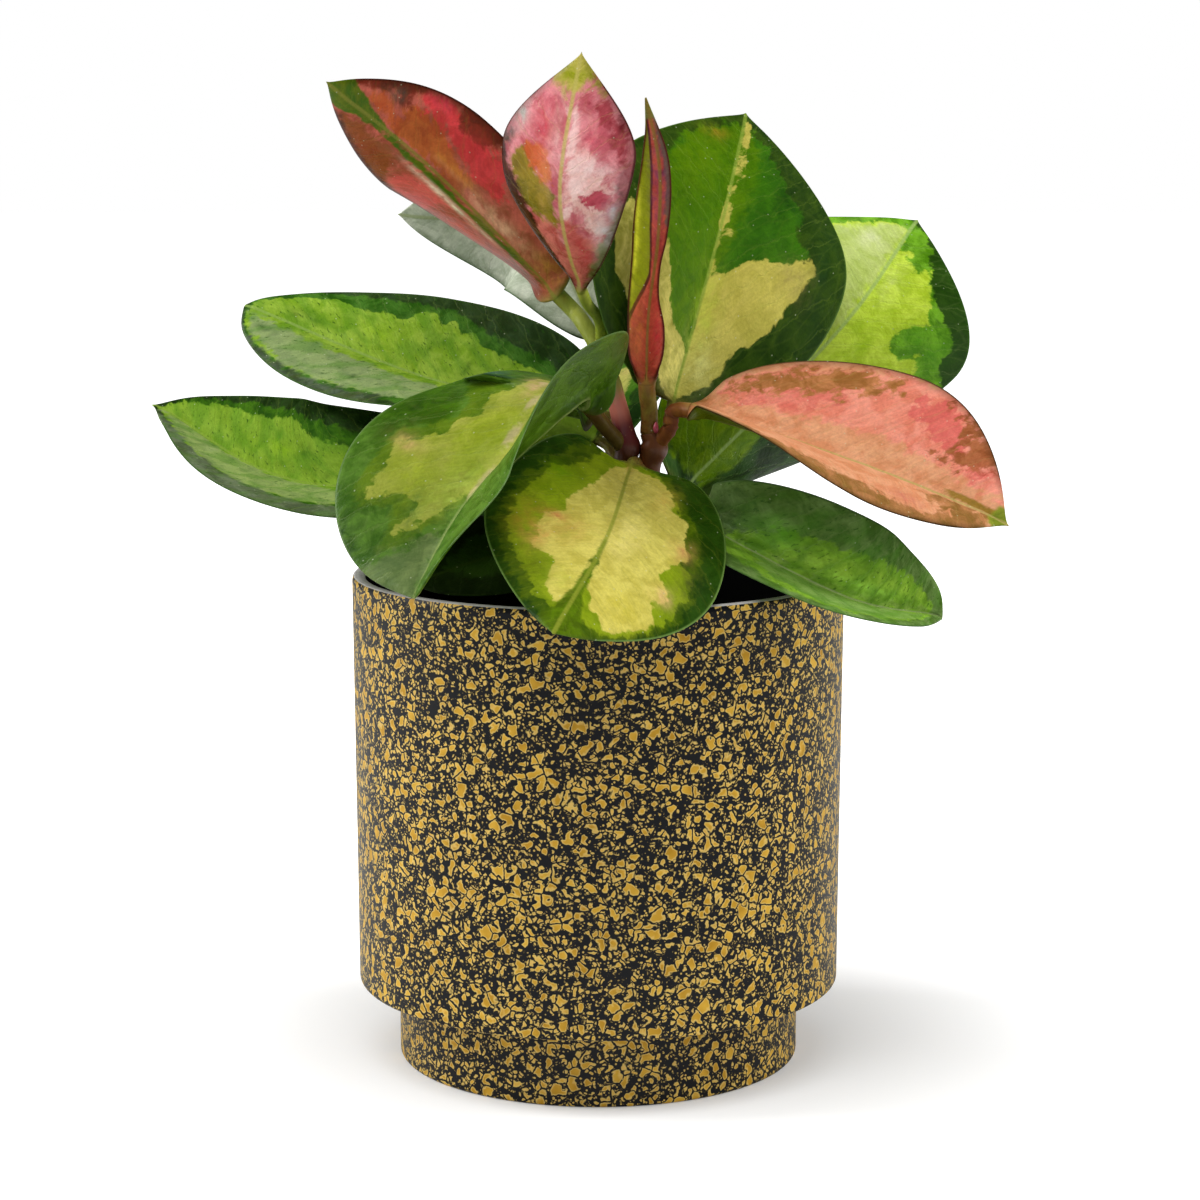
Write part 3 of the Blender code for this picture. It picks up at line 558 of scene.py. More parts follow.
             (-9, 5), (-6, 12), (-7, 24), (-9, 36), (-10, 50), (-9, 60), (-8, 72), (-6, 84), (-5, 92),
             (-12, 90), (-24, 78)]),
            ("#cf5f56", "#dd7468", 1.0, 4.4, [(-28, 66), (-22, 72), (-14, 76), (-10, 84), (-8, 80),
             (-12, 70), (-16, 62), (-20, 56), (-26, 54)]),
            ("#d46c5c", "#de8270", 1.0, 4.4, [(-24, 40), (-17, 38), (-10, 28), (-7, 16), (-12, 16),
             (-18, 26), (-24, 32)]),
            ("#94602c", "#bc7c4c", 1.6, 4.8, [(-29, 47), (-26, 50), (-23, 43), (-19, 37), (-16, 29),
             (-12, 21), (-9, 13), (-12, 10), (-18, 19), (-24, 28), (-28, 37)]),
            ("#8e4e28", "#ac6640", 1.4, 4.8, [(-28, 64), (-24, 68), (-20, 70), (-16, 74), (-13, 70),
             (-11, 66), (-9.6, 74), (-11, 82), (-15, 89), (-21, 80)]),
            ("#86602c", "#b0784a", 1.4, 3.8, [(1, 94), (1, 78), (3, 70), (7, 74), (8, 82), (14, 80),
             (18, 72), (21, 60), (23, 48), (26, 30), (20, 12), (36, 10), (36, 60), (20, 92)]),
            ("#8d6f27", "#9c772d", 0.4, 0.4, [(-2.4, 94), (-2.8, 80), (-2.6, 66), (-1.4, 54), (-0.5, 54),
             (-0.4, 94)]),
            ("#6c7a1e", "#8a942c", 0.8, 0.6, [(-4, 92), (0, 90.5), (4, 92), (6, 104), (-6, 104)]),
        ],
        "tints": [(-3, 3, 4, 5, "#7d4a1c", 0.7), (-5, 50, 3, 20, "#e6b587", 0.5),
                  (14, 70, 4, 6, "#c87460", 0.6), (-14, 48, 5, 5, "#e5987a", 0.5),
                  (-22, 60, 3, 3, "#d26a5c", 0.6), (-11, 84, 2.4, 4, "#c74e4a", 0.6)],
    },
    "right_lower_leaf": {
        "ground": ("#4e6b2d", "#74924d"), "rib": "#9cb070", "edge": "#4c6c34", "edge_width": 0.6,
        "under": GREEN_UNDERSIDE, "stalk": ("#6a6a2a", "#5e4a20"), "roughness": 0.34, "mottled": 0.7,
        "zones": [
            ("#6a9227", "#8dbb36", 0.8, 2.4, [(-1, 12), (-6, 18), (-11, 28), (-13, 40), (-12.5, 56),
             (-10, 70), (-4, 81), (5, 80), (14, 66), (19, 50), (20, 36), (12, 20), (4, 12)]),
            ("#7ba52d", "#9fc741", 0.7, 2.2, [(-2, 22), (-7, 30), (-9.6, 40), (-10, 52), (-9, 64), (-6, 77),
             (-4, 76), (-5.4, 64), (-5, 52), (-4.4, 40), (-3, 32)]),
            ("#7ca034", "#94b450", 0.4, 1.0, [(-2.6, 24), (-0.8, 24), (-0.8, 80), (-3, 76)]),
            ("#86a852", "#6f9838", 0.8, 2.6, [(1, 22), (8, 25), (15, 33), (18, 46), (15, 60), (9, 72),
             (3, 79), (1, 60)]),
        ],
        "tints": [(-16, 50, 4, 20, "#42761a", 0.5), (-9, 24, 4, 5, "#7ac330", 0.6),
                  (-4, 50, 2, 14, "#c1fd61", 0.5), (10, 50, 5, 10, "#8cae60", 0.5)],
    },
    "front_round_leaf": {
        "ground": ("#1d3a06", "#294a0c"), "rib": "#8a942e", "edge": "#6a8a40", "edge_width": 0.7,
        "under": GREEN_UNDERSIDE, "stalk": ("#7a7a30", "#6a4a24"), "roughness": 0.38,
        "zones": [
            ("#375206", "#536a0a", 0.9, 2.2, [(0, -2), (12, 5), (19, 16), (24, 28), (28, 40), (29, 54),
             (24, 66), (15, 78), (3, 90), (-8, 88), (-19, 77), (-26, 66), (-28, 54), (-26, 42), (-20, 26),
             (-12, 10)]),
            ("#738a0d", "#899d15", 0.7, 2.0, [(0, 1), (9, 6), (11, 12), (13, 19), (17, 23), (21, 28),
             (24, 36), (26, 46), (26, 54), (23, 62), (20, 67), (13, 74), (9, 80), (2, 84), (-6, 83),
             (-12, 82), (-20, 73), (-24, 66), (-25, 60), (-26, 54), (-25, 48), (-21, 46), (-20, 36),
             (-16, 24), (-12, 15), (-6, 6)]),
            ("#bcb04a", "#d6ca62", 0.35, 1.1, [(0, 3), (-3, 6), (-5, 8), (-8, 10), (-11, 14), (-14, 19),
             (-15, 24), (-15, 27), (-19, 29), (-20, 34), (-21, 40), (-22, 44), (-19, 47), (-17, 52),
             (-18, 55), (-22, 58), (-21, 61), (-17, 62), (-20, 66), (-22, 68), (-20, 71), (-16, 76),
             (-12, 80), (-10, 81), (-8, 78), (-5, 77), (-3, 72), (-1, 66), (0, 62), (0.8, 70), (1.4, 76),
             (3, 80), (5, 80), (7, 77), (8, 74), (9, 68), (9.4, 63), (13, 63), (17, 62), (16, 58), (18, 53),
             (18, 47), (15, 44), (13, 42), (14, 37), (12, 33), (10, 28), (8, 24), (6, 16), (4, 10),
             (1, 5)]),
            ("#455b06", "#567307", 0.6, 0.9, [(-0.5, 46), (0.5, 46), (1, 60), (1.6, 72), (3, 82), (6, 88),
             (0, 96), (-7, 88), (-3.4, 80), (-1.6, 72), (-1, 60)]),
        ],
        "tints": [(-20, 41, 3, 3.5, "#c89758", 0.8), (-20, 59, 3, 2.5, "#e8b983", 0.7),
                  (16, 57, 3.4, 5, "#daa559", 0.8), (15, 46, 3.4, 3, "#c16c44", 0.6),
                  (0, 2, 1.5, 6, "#7a4028", 0.8), (-5, 42, 5, 12, "#ebdc81", 0.6),
                  (5, 70, 3, 6, "#ced051", 0.5), (-25, 50, 3, 5, "#26291e", 0.6),
                  (22, 52, 4, 8, "#a88228", 0.5), (14, 70, 5, 6, "#5b6909", 0.5),
                  (-12, 70, 6, 6, "#c6b93d", 0.5), (8, 48, 4, 8, "#c4a24f", 0.5),
                  (-12, 22, 3, 6, "#cfa247", 0.5), (18, 28, 4, 4, "#6d9b04", 0.5)],
    },
    "left_twisted_leaf": {
        "ground": ("#33570e", "#527725"), "rib": "#8a9c58", "edge": "#57733c", "edge_width": 0.7,
        "under": ("#345404", "#4e7018"), "stalk": ("#5a4a1e", "#4a3418"), "roughness": 0.36,
        "zones": [
            ("#2e500a", "#3e650b", 1.6, 2.6, [(44, 66), (38, 60), (32, 58), (24, 56), (21, 54), (24, 48),
             (30, 46), (36, 44), (34, 36), (28, 30), (20, 22), (14, 10), (30, 0), (44, 20)]),
            ("#44620f", "#5a7514", 0.9, 1.8, [(0, 62), (3, 74), (8, 84), (15, 89), (14, 80), (18, 76),
             (27, 79), (28, 70), (30, 60), (24, 57), (21, 52), (24, 47), (32, 42), (29, 36), (22, 32),
             (17, 24), (12, 12), (0, 8)]),
            ("#818d2a", "#969c3e", 0.4, 1.5, [(0, 60), (3, 69), (5, 75), (8, 79), (13, 85), (12.6, 80),
             (10, 74), (14, 72), (20, 74), (25, 77), (25, 72), (24, 69), (26, 65), (28, 62), (22, 60),
             (19, 56), (20, 52), (17, 49), (19, 46), (22, 42), (18, 38), (17, 31), (14, 25), (11, 16),
             (4, 20), (0, 40)]),
            # This grey-green zone towards the tip is painted sheen over the dark green.
            ("#536836", "#687a45", 1.6, 3.0, [(0, 100), (0, 77), (5, 80), (8, 86), (13, 90), (18, 95),
             (10, 104)]),
            ("#81911d", "#919d31", 1.4, 2.4, [(4, 60), (8, 64), (14, 60), (17, 54), (16, 44), (10, 42),
             (6, 46), (3, 52)]),
            ("#a29968", "#bbac78", 0.5, 0.5, [(-1, 68), (0.6, 66), (1.8, 60), (4, 53), (8, 45), (11, 37),
             (12.4, 24), (9, 24), (8.4, 37), (5, 45), (1, 53), (-1, 60)]),
        ],
        # The grey-green tints at (10, 92) and (26, 22) are painted sheen over dark green.
        "tints": [(15, 67, 7, 5, "#99a828", 0.6), (24, 62, 4, 1.6, "#bf9a68", 0.8),
                  (13, 30, 2.6, 9, "#c09b74", 0.8), (7, 50, 2, 9, "#728227", 0.6),
                  (5, 66, 3, 8, "#bdd55b", 0.5), (10, 92, 6, 5, "#4a6035", 0.6),
                  (33, 56, 4, 8, "#193a05", 0.6), (26, 22, 6, 8, "#456357", 0.6),
                  (6, 20, 4, 8, "#8a9a48", 0.6), (26, 86, 8, 8, "#103004", 0.6),
                  (11, 74, 1.4, 8, "#406528", 0.6), (19, 46, 3, 3, "#47650e", 0.6)],
    },
    "left_upper_leaf": {
        "ground": ("#203611", "#304824"), "rib": "#8aa850", "edge": "#3c5a28", "edge_width": 0.6,
        "under": GREEN_UNDERSIDE, "stalk": OLIVE_STALK, "roughness": 0.34,
        "mottled": 0.75,
        "zones": [
            ("#265208", "#457423", 0.7, 1.8, [(0, 2), (8, 14), (14, 26), (18, 40), (23, 52), (23.5, 68),
             (20, 86), (15, 98), (8, 107), (-12, 104), (-21, 90), (-25, 70), (-26, 50), (-20, 26),
             (-8, 4)]),
            ("#779d21", "#93b33b", 0.4, 1.3, [(0, 8), (6, 16), (9, 24), (10, 30), (13, 38), (14, 42),
             (17, 45), (17, 49), (20, 52), (18, 56), (21, 60), (21, 64), (18, 66), (16, 67), (17, 74),
             (15, 80), (16, 86), (14, 93), (10, 99), (4, 105), (-6, 105), (-13, 99), (-18, 88), (-21, 74),
             (-21, 56), (-14, 28)]),
            # The next two zones on the left half are painted sheen: pale grey green over the lime, and dark
            # grey over the dark margin.
            ("#7f925f", "#90a467", 1.0, 2.4, [(-2, 104), (-4, 90), (-5, 70), (-6, 50), (-14, 44), (-22, 56),
             (-21, 76), (-17, 90), (-9, 102)]),
            ("#37462c", "#54624d", 1.2, 2.2, [(-30, 60), (-22, 62), (-22, 76), (-18, 90), (-10, 102),
             (-4, 108), (-20, 108), (-34, 80)]),
        ],
        "tints": [(5, 93, 2, 2.5, "#113701", 0.8), (4, 88, 1.5, 2, "#33640f", 0.7),
                  (8, 57, 1.6, 1, "#2f5a10", 0.7), (13, 54, 1.5, 2, "#33640f", 0.6),
                  (6, 44, 1.6, 1, "#2f5a10", 0.7), (-12, 76, 1, 2, "#3c5830", 0.8),
                  (-14, 71, 1, 1.6, "#3c5830", 0.8), (-6, 99, 1.2, 2, "#3c5830", 0.8),
                  (2, 80, 3, 8, "#9ec147", 0.5), (18.4, 62, 2.4, 2.6, "#79a32a", 0.8),
                  (8, 72, 4, 6, "#97bf1f", 0.4)],
    },
    "left_lower_leaf": {
        "ground": ("#142a05", "#284018"), "rib": "#86a43c", "edge": "#3c5a28", "edge_width": 0.6,
        "under": GREEN_UNDERSIDE, "stalk": OLIVE_STALK, "roughness": 0.34,
        "mottled": 0.75,
        "zones": [
            ("#264f07", "#3f6e0c", 0.7, 1.8, [(0, 4), (10, 26), (17, 46), (20, 58), (22, 76), (18, 94),
             (12, 106), (6, 116), (-8, 114), (-18, 98), (-23, 78), (-24, 54), (-16, 26)]),
            ("#789c26", "#89ad33", 0.5, 1.4, [(0, 12), (4, 24), (8, 38), (12, 50), (14, 56), (15, 62),
             (16, 66), (19, 70), (19, 76), (18, 80), (16, 84), (15, 88), (14, 93), (13, 98), (11, 104),
             (8, 109), (6, 114), (0, 119), (-6, 114), (-12, 106), (-16, 94), (-18, 80), (-18, 60),
             (-12, 34)]),
            # The next two zones on the left half are painted sheen: pale grey green over the lime, and dark
            # grey over the dark margin.
            ("#7e9454", "#96ac60", 1.2, 2.4, [(-1.4, 116), (-1.4, 60), (-8, 44), (-18, 56), (-18, 80),
             (-15, 94), (-9, 108)]),
            ("#505e41", "#6e7b5d", 1.2, 2.4, [(-30, 50), (-19, 52), (-18, 80), (-13, 98), (-8, 108),
             (-4, 117), (-16, 116), (-34, 80)]),
        ],
        # The pale grey-green tint at (-6, 92) is a painted sheen fleck.
        "tints": [(10, 63, 2, 3, "#104701", 0.8), (4, 55, 1.6, 1, "#2f5a10", 0.8),
                  (6, 84, 2, 6, "#8bbb20", 0.5), (8, 72, 3, 5, "#8ab60c", 0.5),
                  (3, 98, 2, 8, "#89b13c", 0.5), (-6, 92, 2, 1.4, "#aab880", 0.6),
                  (12, 76, 1.4, 3, "#44801a", 0.7), (5, 68, 1.4, 2.6, "#44801a", 0.6),
                  (11, 90, 1.2, 3, "#44801a", 0.6)],
    },
    "grey_back_leaf": {
        "ground": ("#3a5c18", "#4a6c20"), "rib": "#8c9868", "edge": "#3d5a2a", "edge_width": 2.2,
        # The underside's pale grey green is partly its own paler tone and partly painted sheen.
        "under": ("#c2c8b4", "#9ca68e"), "stalk": ("#7a8a30", "#6e7a2c"), "roughness": 0.4,
        "zones": [
            ("#8aa83a", "#94b044", 0.6, 2.0, [(0, 4), (10, 26), (12, 46), (4, 68), (-6, 66), (-12, 44),
             (-8, 20)]),
        ],
    },
    "inner_low_leaf": {
        # All its tones are dark: partly its own dark green, partly painted shade for a leaf low in the pot
        # under the others.
        "ground": ("#152404", "#1c2e06"), "rib": "#33480f", "edge": "#2c420f", "edge_width": 0.6,
        "under": ("#20300a", "#2a3c10"), "stalk": ("#3a3412", "#32280e"), "roughness": 0.42,
        "zones": [
            ("#26400a", "#2c480c", 1.2, 2.4, [(0, 6), (8, 18), (9, 34), (2, 48), (-8, 42), (-9, 22)]),
        ],
    },
    "inner_lime_leaf": {
        "ground": ("#2f5a0c", "#3a6a12"), "rib": "#9ab83c", "edge": "#4a6c28", "edge_width": 0.6,
        "under": GREEN_UNDERSIDE, "stalk": OLIVE_STALK, "roughness": 0.36,
        "zones": [
            ("#84a82a", "#92b434", 0.6, 2.0, [(-1, 0), (8, 6), (13, 18), (12, 34), (4, 46), (-6, 44),
             (-12, 30), (-12, 18), (-5, 14)]),
        ],
    },
    "back_centre_leaf": {
        "ground": DARK_GROUND, "rib": "#8aa048", "edge": "#4a6a30", "edge_width": 0.6,
        "under": GREEN_UNDERSIDE, "stalk": OLIVE_STALK, "roughness": 0.36, "mottled": 0.5,
        "zones": [
            ("#3a6a12", "#4a7a18", 0.8, 2.4, [(0, 4), (12, 22), (19, 38), (14, 54), (0, 62), (-15, 52),
             (-18, 34), (-10, 16)]),
            ("#b4b054", "#c0bc60", 0.4, 1.4, [(0, 8), (4, 14), (7, 20), (11, 25), (13, 32), (8, 36),
             (9, 42), (11, 46), (6, 48), (3, 52), (0, 58), (-2, 50), (-6, 47), (-11, 42), (-9, 37),
             (-8, 32), (-12, 26), (-8, 22), (-6, 16)]),
        ],
        "tints": [(0, 30, 5, 10, "#a4a848", 0.5), (12, 30, 4, 4, "#c0a868", 0.5)],
    },
    "back_left_low_leaf": {
        "ground": DARK_GROUND, "rib": "#8aa048", "edge": "#4a6a30", "edge_width": 0.6,
        "under": GREEN_UNDERSIDE, "stalk": OLIVE_STALK, "roughness": 0.36, "mottled": 0.7,
        "zones": [
            ("#37680f", "#2c5a0c", 0.8, 2.4, [(0, 4), (12, 26), (19, 46), (14, 66), (0, 78), (-14, 66),
             (-18, 42), (-10, 20)]),
            ("#7ca42a", "#8cb03c", 0.6, 2.0, [(0, 10), (8, 26), (12, 44), (8, 62), (0, 72), (-8, 62),
             (-12, 42), (-7, 24)]),
        ],
    },
    "back_right_low_leaf": {
        "ground": DARK_GROUND, "rib": "#8aa048", "edge": "#4a6a30", "edge_width": 0.6,
        "under": GREEN_UNDERSIDE, "stalk": OLIVE_STALK, "roughness": 0.36, "mottled": 0.6,
        "zones": [
            ("#37680f", "#2c5a0c", 0.8, 2.4, [(0, 4), (12, 20), (19, 34), (14, 50), (0, 60), (-14, 50),
             (-18, 32), (-10, 16)]),
            ("#a4b040", "#b4bc54", 0.5, 1.8, [(0, 8), (5, 13), (8, 20), (11, 25), (12, 32), (8, 38),
             (7, 44), (3, 48), (0, 54), (-4, 49), (-7, 44), (-8, 38), (-11, 32), (-8, 26), (-7, 20),
             (-4, 14)]),
        ],
        "tints": [(0, 30, 5, 10, "#98ac3c", 0.5)],
    },
}


def inside_distance(points, outline):
    """Signed distance of flat points to a closed outline, positive inside it."""
    corners = np.array(outline, float)
    ends = np.roll(corners, -1, axis=0)
    best = np.full(len(points), 1e9)
    inside = np.zeros(len(points), bool)
    for a, b in zip(corners, ends):
        run = b - a
        share = np.clip(((points - a) @ run) / (run @ run), 0, 1)
        best = np.minimum(best, np.hypot(*(points - a - share[:, None] * run).T))
        crosses = (a[1] > points[:, 1]) != (b[1] > points[:, 1])
        rise = run[1] if run[1] else 1e-9
        inside ^= crosses & (points[:, 0] < a[0] + run[0] * (points[:, 1] - a[1]) / rise)
    return np.where(inside, best, -best)


def zone_field(index):
    """Name of the attribute that carries a zone's depth, with those of two others."""
    return "zones_" + "abc"[index // 3]


def soft_spots(points, tints):
    """Strength and linear colour that the tints give together at flat points."""
    strength = np.zeros(len(points))
    mixed = np.zeros((len(points), 3))
    total = np.full(len(points), 1e-30)
    for x, y, across, along, code, share in tints:
        away = np.hypot((points[:, 0] - x) / across, (points[:, 1] - y) / along)
        strength = 1 - (1 - strength) * (1 - share * np.exp(-away ** 2))
        mixed += np.exp(-2 * away)[:, None] * np.array(colour(code)[:3])
        total += np.exp(-2 * away)
    return strength, mixed / total[:, None]


# ---------------------------------------------------------------------------------------------
# Materials
# ---------------------------------------------------------------------------------------------

BLEND = {"data_type": "RGBA"}
EASED = {"interpolation_type": "SMOOTHSTEP"}
TIMES = {"operation": "MULTIPLY"}
TIMES_PLUS = {"operation": "MULTIPLY_ADD"}
LARGER = {"operation": "MAXIMUM"}
SOFTLY_SMALLER = {"operation": "SMOOTH_MIN"}

# The chips on the pot: their size in mm, the level of the noise that they start at, and the gap
# between two of them. Below them is a fine spray of dots, with its spacing and radius in mm.
CHIPS = ((2.9, 0.53, 0.45), (1.6, 0.535, 0.36))
SPRAY_SPACING = 1.15
SPRAY_RADIUS = 0.27


def colour(code):
    """Linear colour from an sRGB hex value."""
    parts = [int(code[i:i + 2], 16) / 255 for i in (1, 3, 5)]
    return [p / 12.92 if p <= 0.04045 else ((p + 0.055) / 1.055) ** 2.4 for p in parts] + [1.0]


def add(tree, kind, settings=None, *values, out=None, **named):
    """Add a node with its settings; values go to its shown inputs in order, or by name."""
    made = tree.nodes.new("ShaderNode" + kind)
    for key, value in (settings or {}).items():
        setattr(made, key, value)
    shown = [socket for socket in made.inputs if socket.enabled]
    pairs = list(zip(shown, values))
    pairs += [(made.inputs[key.replace("_", " ")], value) for key, value in named.items()]
    for socket, value in pairs:
        if isinstance(value, bpy.types.NodeSocket):
            tree.links.new(value, socket)
        elif value is not None:
            socket.default_value = colour(value) if isinstance(value, str) else value
    return made.outputs[out] if out else next(socket for socket in made.outputs if socket.enabled)


def new_material(name, **sockets):
    material = bpy.data.materials.new(name)
    material.use_nodes = True
    tree = material.node_tree
    shader = tree.nodes["Principled BSDF"]
    for key, value in sockets.items():
        shader.inputs[key.replace("_", " ")].default_value = value
    return material, tree, shader


def link_surface(tree, shader, skin, gloss, bump):
    for name, socket in (("Base Color", skin), ("Roughness", gloss), ("Normal", bump)):
        tree.links.new(socket, shader.inputs[name])


def leaf_places(tree):
    """Where a point lies on its leaf, and the noises that the leaf's layers share."""
    at = SimpleNamespace()
    at.flat = add(tree, "Attribute", {"attribute_name": "flat"}, out="Vector")
    part = add(tree, "Attribute", {"attribute_name": "part"}, out="Vector")
    at.x, y = [add(tree, "SeparateXYZ", None, at.flat, out=axis) for axis in "XY"]
    at.upper, at.stalk, at.to_edge = [add(tree, "SeparateXYZ", None, part, out=axis) for axis in "XYZ"]
    at.out_from_rib = add(tree, "Math", {"operation": "ABSOLUTE"}, at.x)
    # Side veins climb at about 40 degrees from the midrib: this height is constant along one.
    at.climb = add(tree, "Math", TIMES_PLUS, at.out_from_rib, -VEIN_SLOPE, y)
    at.narrow_x = add(tree, "Math", TIMES, at.x, 0.7)
    at.along_veins = add(tree, "CombineXYZ", None, at.narrow_x, at.climb, 0.0)
    # Ragged edge of the colour zones: lobes of 1 to 5 mm that lean a little along the veins.
    lean = add(tree, "Math", TIMES_PLUS, at.out_from_rib, -0.35, y)
    at.teeth = add(tree, "TexNoise", None, Vector=add(tree, "CombineXYZ", None, at.x, lean, 0.0), Scale=0.27,
                   Detail=5.0, Roughness=0.6, Distortion=0.3)
    # Cloudy change of tone inside a zone, over about 7 mm.
    at.clouds = add(tree, "TexNoise", None, Vector=at.flat, Scale=0.15, Detail=4.0, Roughness=0.62,
                    Distortion=0.7)
    at.tone = add(tree, "MapRange", EASED, at.clouds, 0.36, 0.64, 0.0, 1.0)
    # Fine grain of the cells, under a millimetre.
    at.grain = add(tree, "TexNoise", None, Vector=at.flat, Scale=1.3, Detail=3.0, Roughness=0.6)
    return at


def zoned_skin(tree, look, at):
    """Ground colour with the leaf's colour zones over it, each with a ragged edge."""
    skin = add(tree, "Mix", BLEND, at.tone, *look["ground"])
    for index, (light, dark, soft, ragged, _) in enumerate(look["zones"]):
        distances = add(tree, "Attribute", {"attribute_name": zone_field(index)}, out="Vector")
        depth = add(tree, "SeparateXYZ", None, distances, out="XYZ"[index % 3])
        wander = add(tree, "Math", TIMES_PLUS, at.teeth, 4 * ragged, -2 * ragged)
        edge = add(tree, "Math", {"operation": "ADD"}, depth, wander)
        inside = add(tree, "MapRange", EASED, edge, -soft, soft, 0.0, 1.0)
        fill = add(tree, "Mix", BLEND, at.tone, light, dark)
        skin = add(tree, "Mix", BLEND, inside, skin, fill)
    return skin


def tinted(tree, at, skin):
    """Soft patches of another tone, broken up along the veins; a few of them are painted sheen."""
    tint = add(tree, "Attribute", {"attribute_name": "tint"}, out="Color")
    strength = add(tree, "Attribute", {"attribute_name": "tint_strength"}, out="Fac")
    broken = add(tree, "MapRange", None, at.teeth, 0.36, 0.62, 0.25, 1.35)
    share = add(tree, "Math", {"operation": "MULTIPLY", "use_clamp": True}, strength, broken)
    return add(tree, "Mix", BLEND, share, skin, tint)


def mottled(tree, at, skin, strength):
    """Dark dashes of 1 to 3 mm, and quilting: cushions 5 mm wide with darker furrows between, partly a darker
    green and partly painted shade in the creases.
    """
    dashes = add(tree, "TexNoise", None, Vector=at.along_veins, Scale=0.8, Detail=3.0, Roughness=0.6)
    dark = add(tree, "MapRange", EASED, dashes, 0.59, 0.68, 0.0, strength)
    skin = add(tree, "Mix", BLEND, dark, skin, "#2a520f")
    # The furrows between the cushions are darkened: partly a darker green, partly painted shade in the
    # creases.
    swerve = add(tree, "Math", TIMES_PLUS, at.teeth, 5.0, at.climb)
    bent = add(tree, "CombineXYZ", None, at.narrow_x, swerve, 0.0)
    quilt = add(tree, "TexVoronoi", {"voronoi_dimensions": "2D"}, Vector=bent, Scale=0.2)
    furrow_tone_and_shade = add(tree, "MapRange", EASED, quilt, 0.3, 0.72, 0.0, 0.6 * strength)
    return add(tree, "Mix", {"data_type": "RGBA", "blend_type": "DARKEN"}, furrow_tone_and_shade, skin, "#457e14")


def vein_lines(tree, at):
    """Side veins a third of a millimetre wide, and the fine network between them."""
    bend = add(tree, "Math", TIMES_PLUS, at.clouds, 7.0, at.climb)
    step = add(tree, "Math", {"operation": "DIVIDE"}, bend, VEIN_SPACING)
    from_vein = add(tree, "Math", {"operation": "PINGPONG"}, step, 0.5)
    vein = add(tree, "MapRange", EASED, from_vein, 0.0, 0.05, 1.0, 0.0)
    cells = add(tree, "TexVoronoi", {"voronoi_dimensions": "2D", "feature": "DISTANCE_TO_EDGE"},
                Vector=at.along_veins, Scale=0.18)
    network = add(tree, "MapRange", EASED, cells, 0.0, 0.10, 0.35, 0.0)
    return add(tree, "Math", LARGER, vein, network)


def with_parts(tree, look, at, skin):
    """The underside, the midrib, the rim and the stalk, in their own colours."""
    below = add(tree, "Mix", BLEND, at.tone, *look["under"])
    face = add(tree, "MapRange", None, at.upper, -0.08, 0.08, 0.0, 1.0)
    skin = add(tree, "Mix", BLEND, face, below, skin)
    rib = add(tree, "MapRange", EASED, at.out_from_rib, 0.2, 0.85, 0.75, 0.0)
    skin = add(tree, "Mix", BLEND, rib, skin, look["rib"])
    # A dark line follows the very edge, and on the young leaves it fades inwards.
    line = add(tree, "MapRange", EASED, at.to_edge, 0.2, 0.6 + 0.2 * look["edge_width"], 0.95, 0.0)
    fade = add(tree, "MapRange", EASED, at.to_edge, 0.2, 1.2 * look["edge_width"], 0.5, 0.0)
    rim = add(tree, "Math", LARGER, line, fade)
    skin = add(tree, "Mix", BLEND, rim, skin, look["edge"])
    stem = add(tree, "Mix", BLEND, at.tone, *look["stalk"])
    return add(tree, "Mix", BLEND, at.stalk, skin, stem)


def waxy(tree, at, skin):
    """Pale wax spots of 0.3 mm, far apart, and fine streaks that run out along the veins."""
    spots = add(tree, "TexVoronoi", {"voronoi_dimensions": "2D"}, Vector=at.flat, Scale=0.12, Randomness=1.0)
    dot = add(tree, "MapRange", None, spots, 0.014, 0.030, 0.4, 0.0)
    skin = add(tree, "Mix", BLEND, dot, skin, "#cdd6b4")
    # The streaks are 1 mm wide and 6 mm long.
    stretched = add(tree, "CombineXYZ", None, add(tree, "Math", TIMES, at.x, 0.16), at.climb, 0.0)
    streaks = add(tree, "TexNoise", None, Vector=stretched, Scale=0.75, Detail=3.0, Roughness=0.6)
    both = add(tree, "Math", {"operation": "ADD"}, at.grain, streaks)
    fine = add(tree, "MapRange", None, both, 0.7, 1.3, 0.86, 1.12)
    shade = add(tree, "CombineColor", None, fine, fine, fine)
    return add(tree, "Mix", {"data_type": "RGBA", "blend_type": "MULTIPLY"}, 1.0, skin, shade)


def leaf_material(name, look):
    """Hoya leaf: thick living leaf with a waxy skin, so colours are deep and highlights broad.

    The pale parts lack green pigment. They lie in the middle of the blade, and their ragged
    edges run along the side veins.
    """
    material, tree, shader = new_material(name, Specular_IOR_Level=0.16, IOR=1.45)
    at = leaf_places(tree)
    skin = zoned_skin(tree, look, at)
    if "tints" in look:
        skin = tinted(tree, at, skin)
    if "mottled" in look:
        skin = mottled(tree, at, skin, look["mottled"])
    lines = vein_lines(tree, at)
    faint = add(tree, "Math", TIMES, lines, 0.13)
    skin = add(tree, "Mix", BLEND, faint, skin, look["rib"])
    skin = waxy(tree, at, with_parts(tree, look, at, skin))

    rough = look["roughness"]
    gloss = add(tree, "MapRange", None, at.clouds, 0.3, 0.7, rough - 0.06, rough + 0.08)
    # The skin is faintly pebbled, quilted between the veins, and sinks a little at the veins.
    relief = add(tree, "Math", TIMES_PLUS, lines, -0.8, at.grain)
    pillow = add(tree, "Math", TIMES_PLUS, at.clouds, 4.0, relief)
    bump = add(tree, "Bump", None, Strength=0.3, Distance=0.3 * MM, Height=pillow)
    link_surface(tree, shader, skin, gloss, bump)
    return material


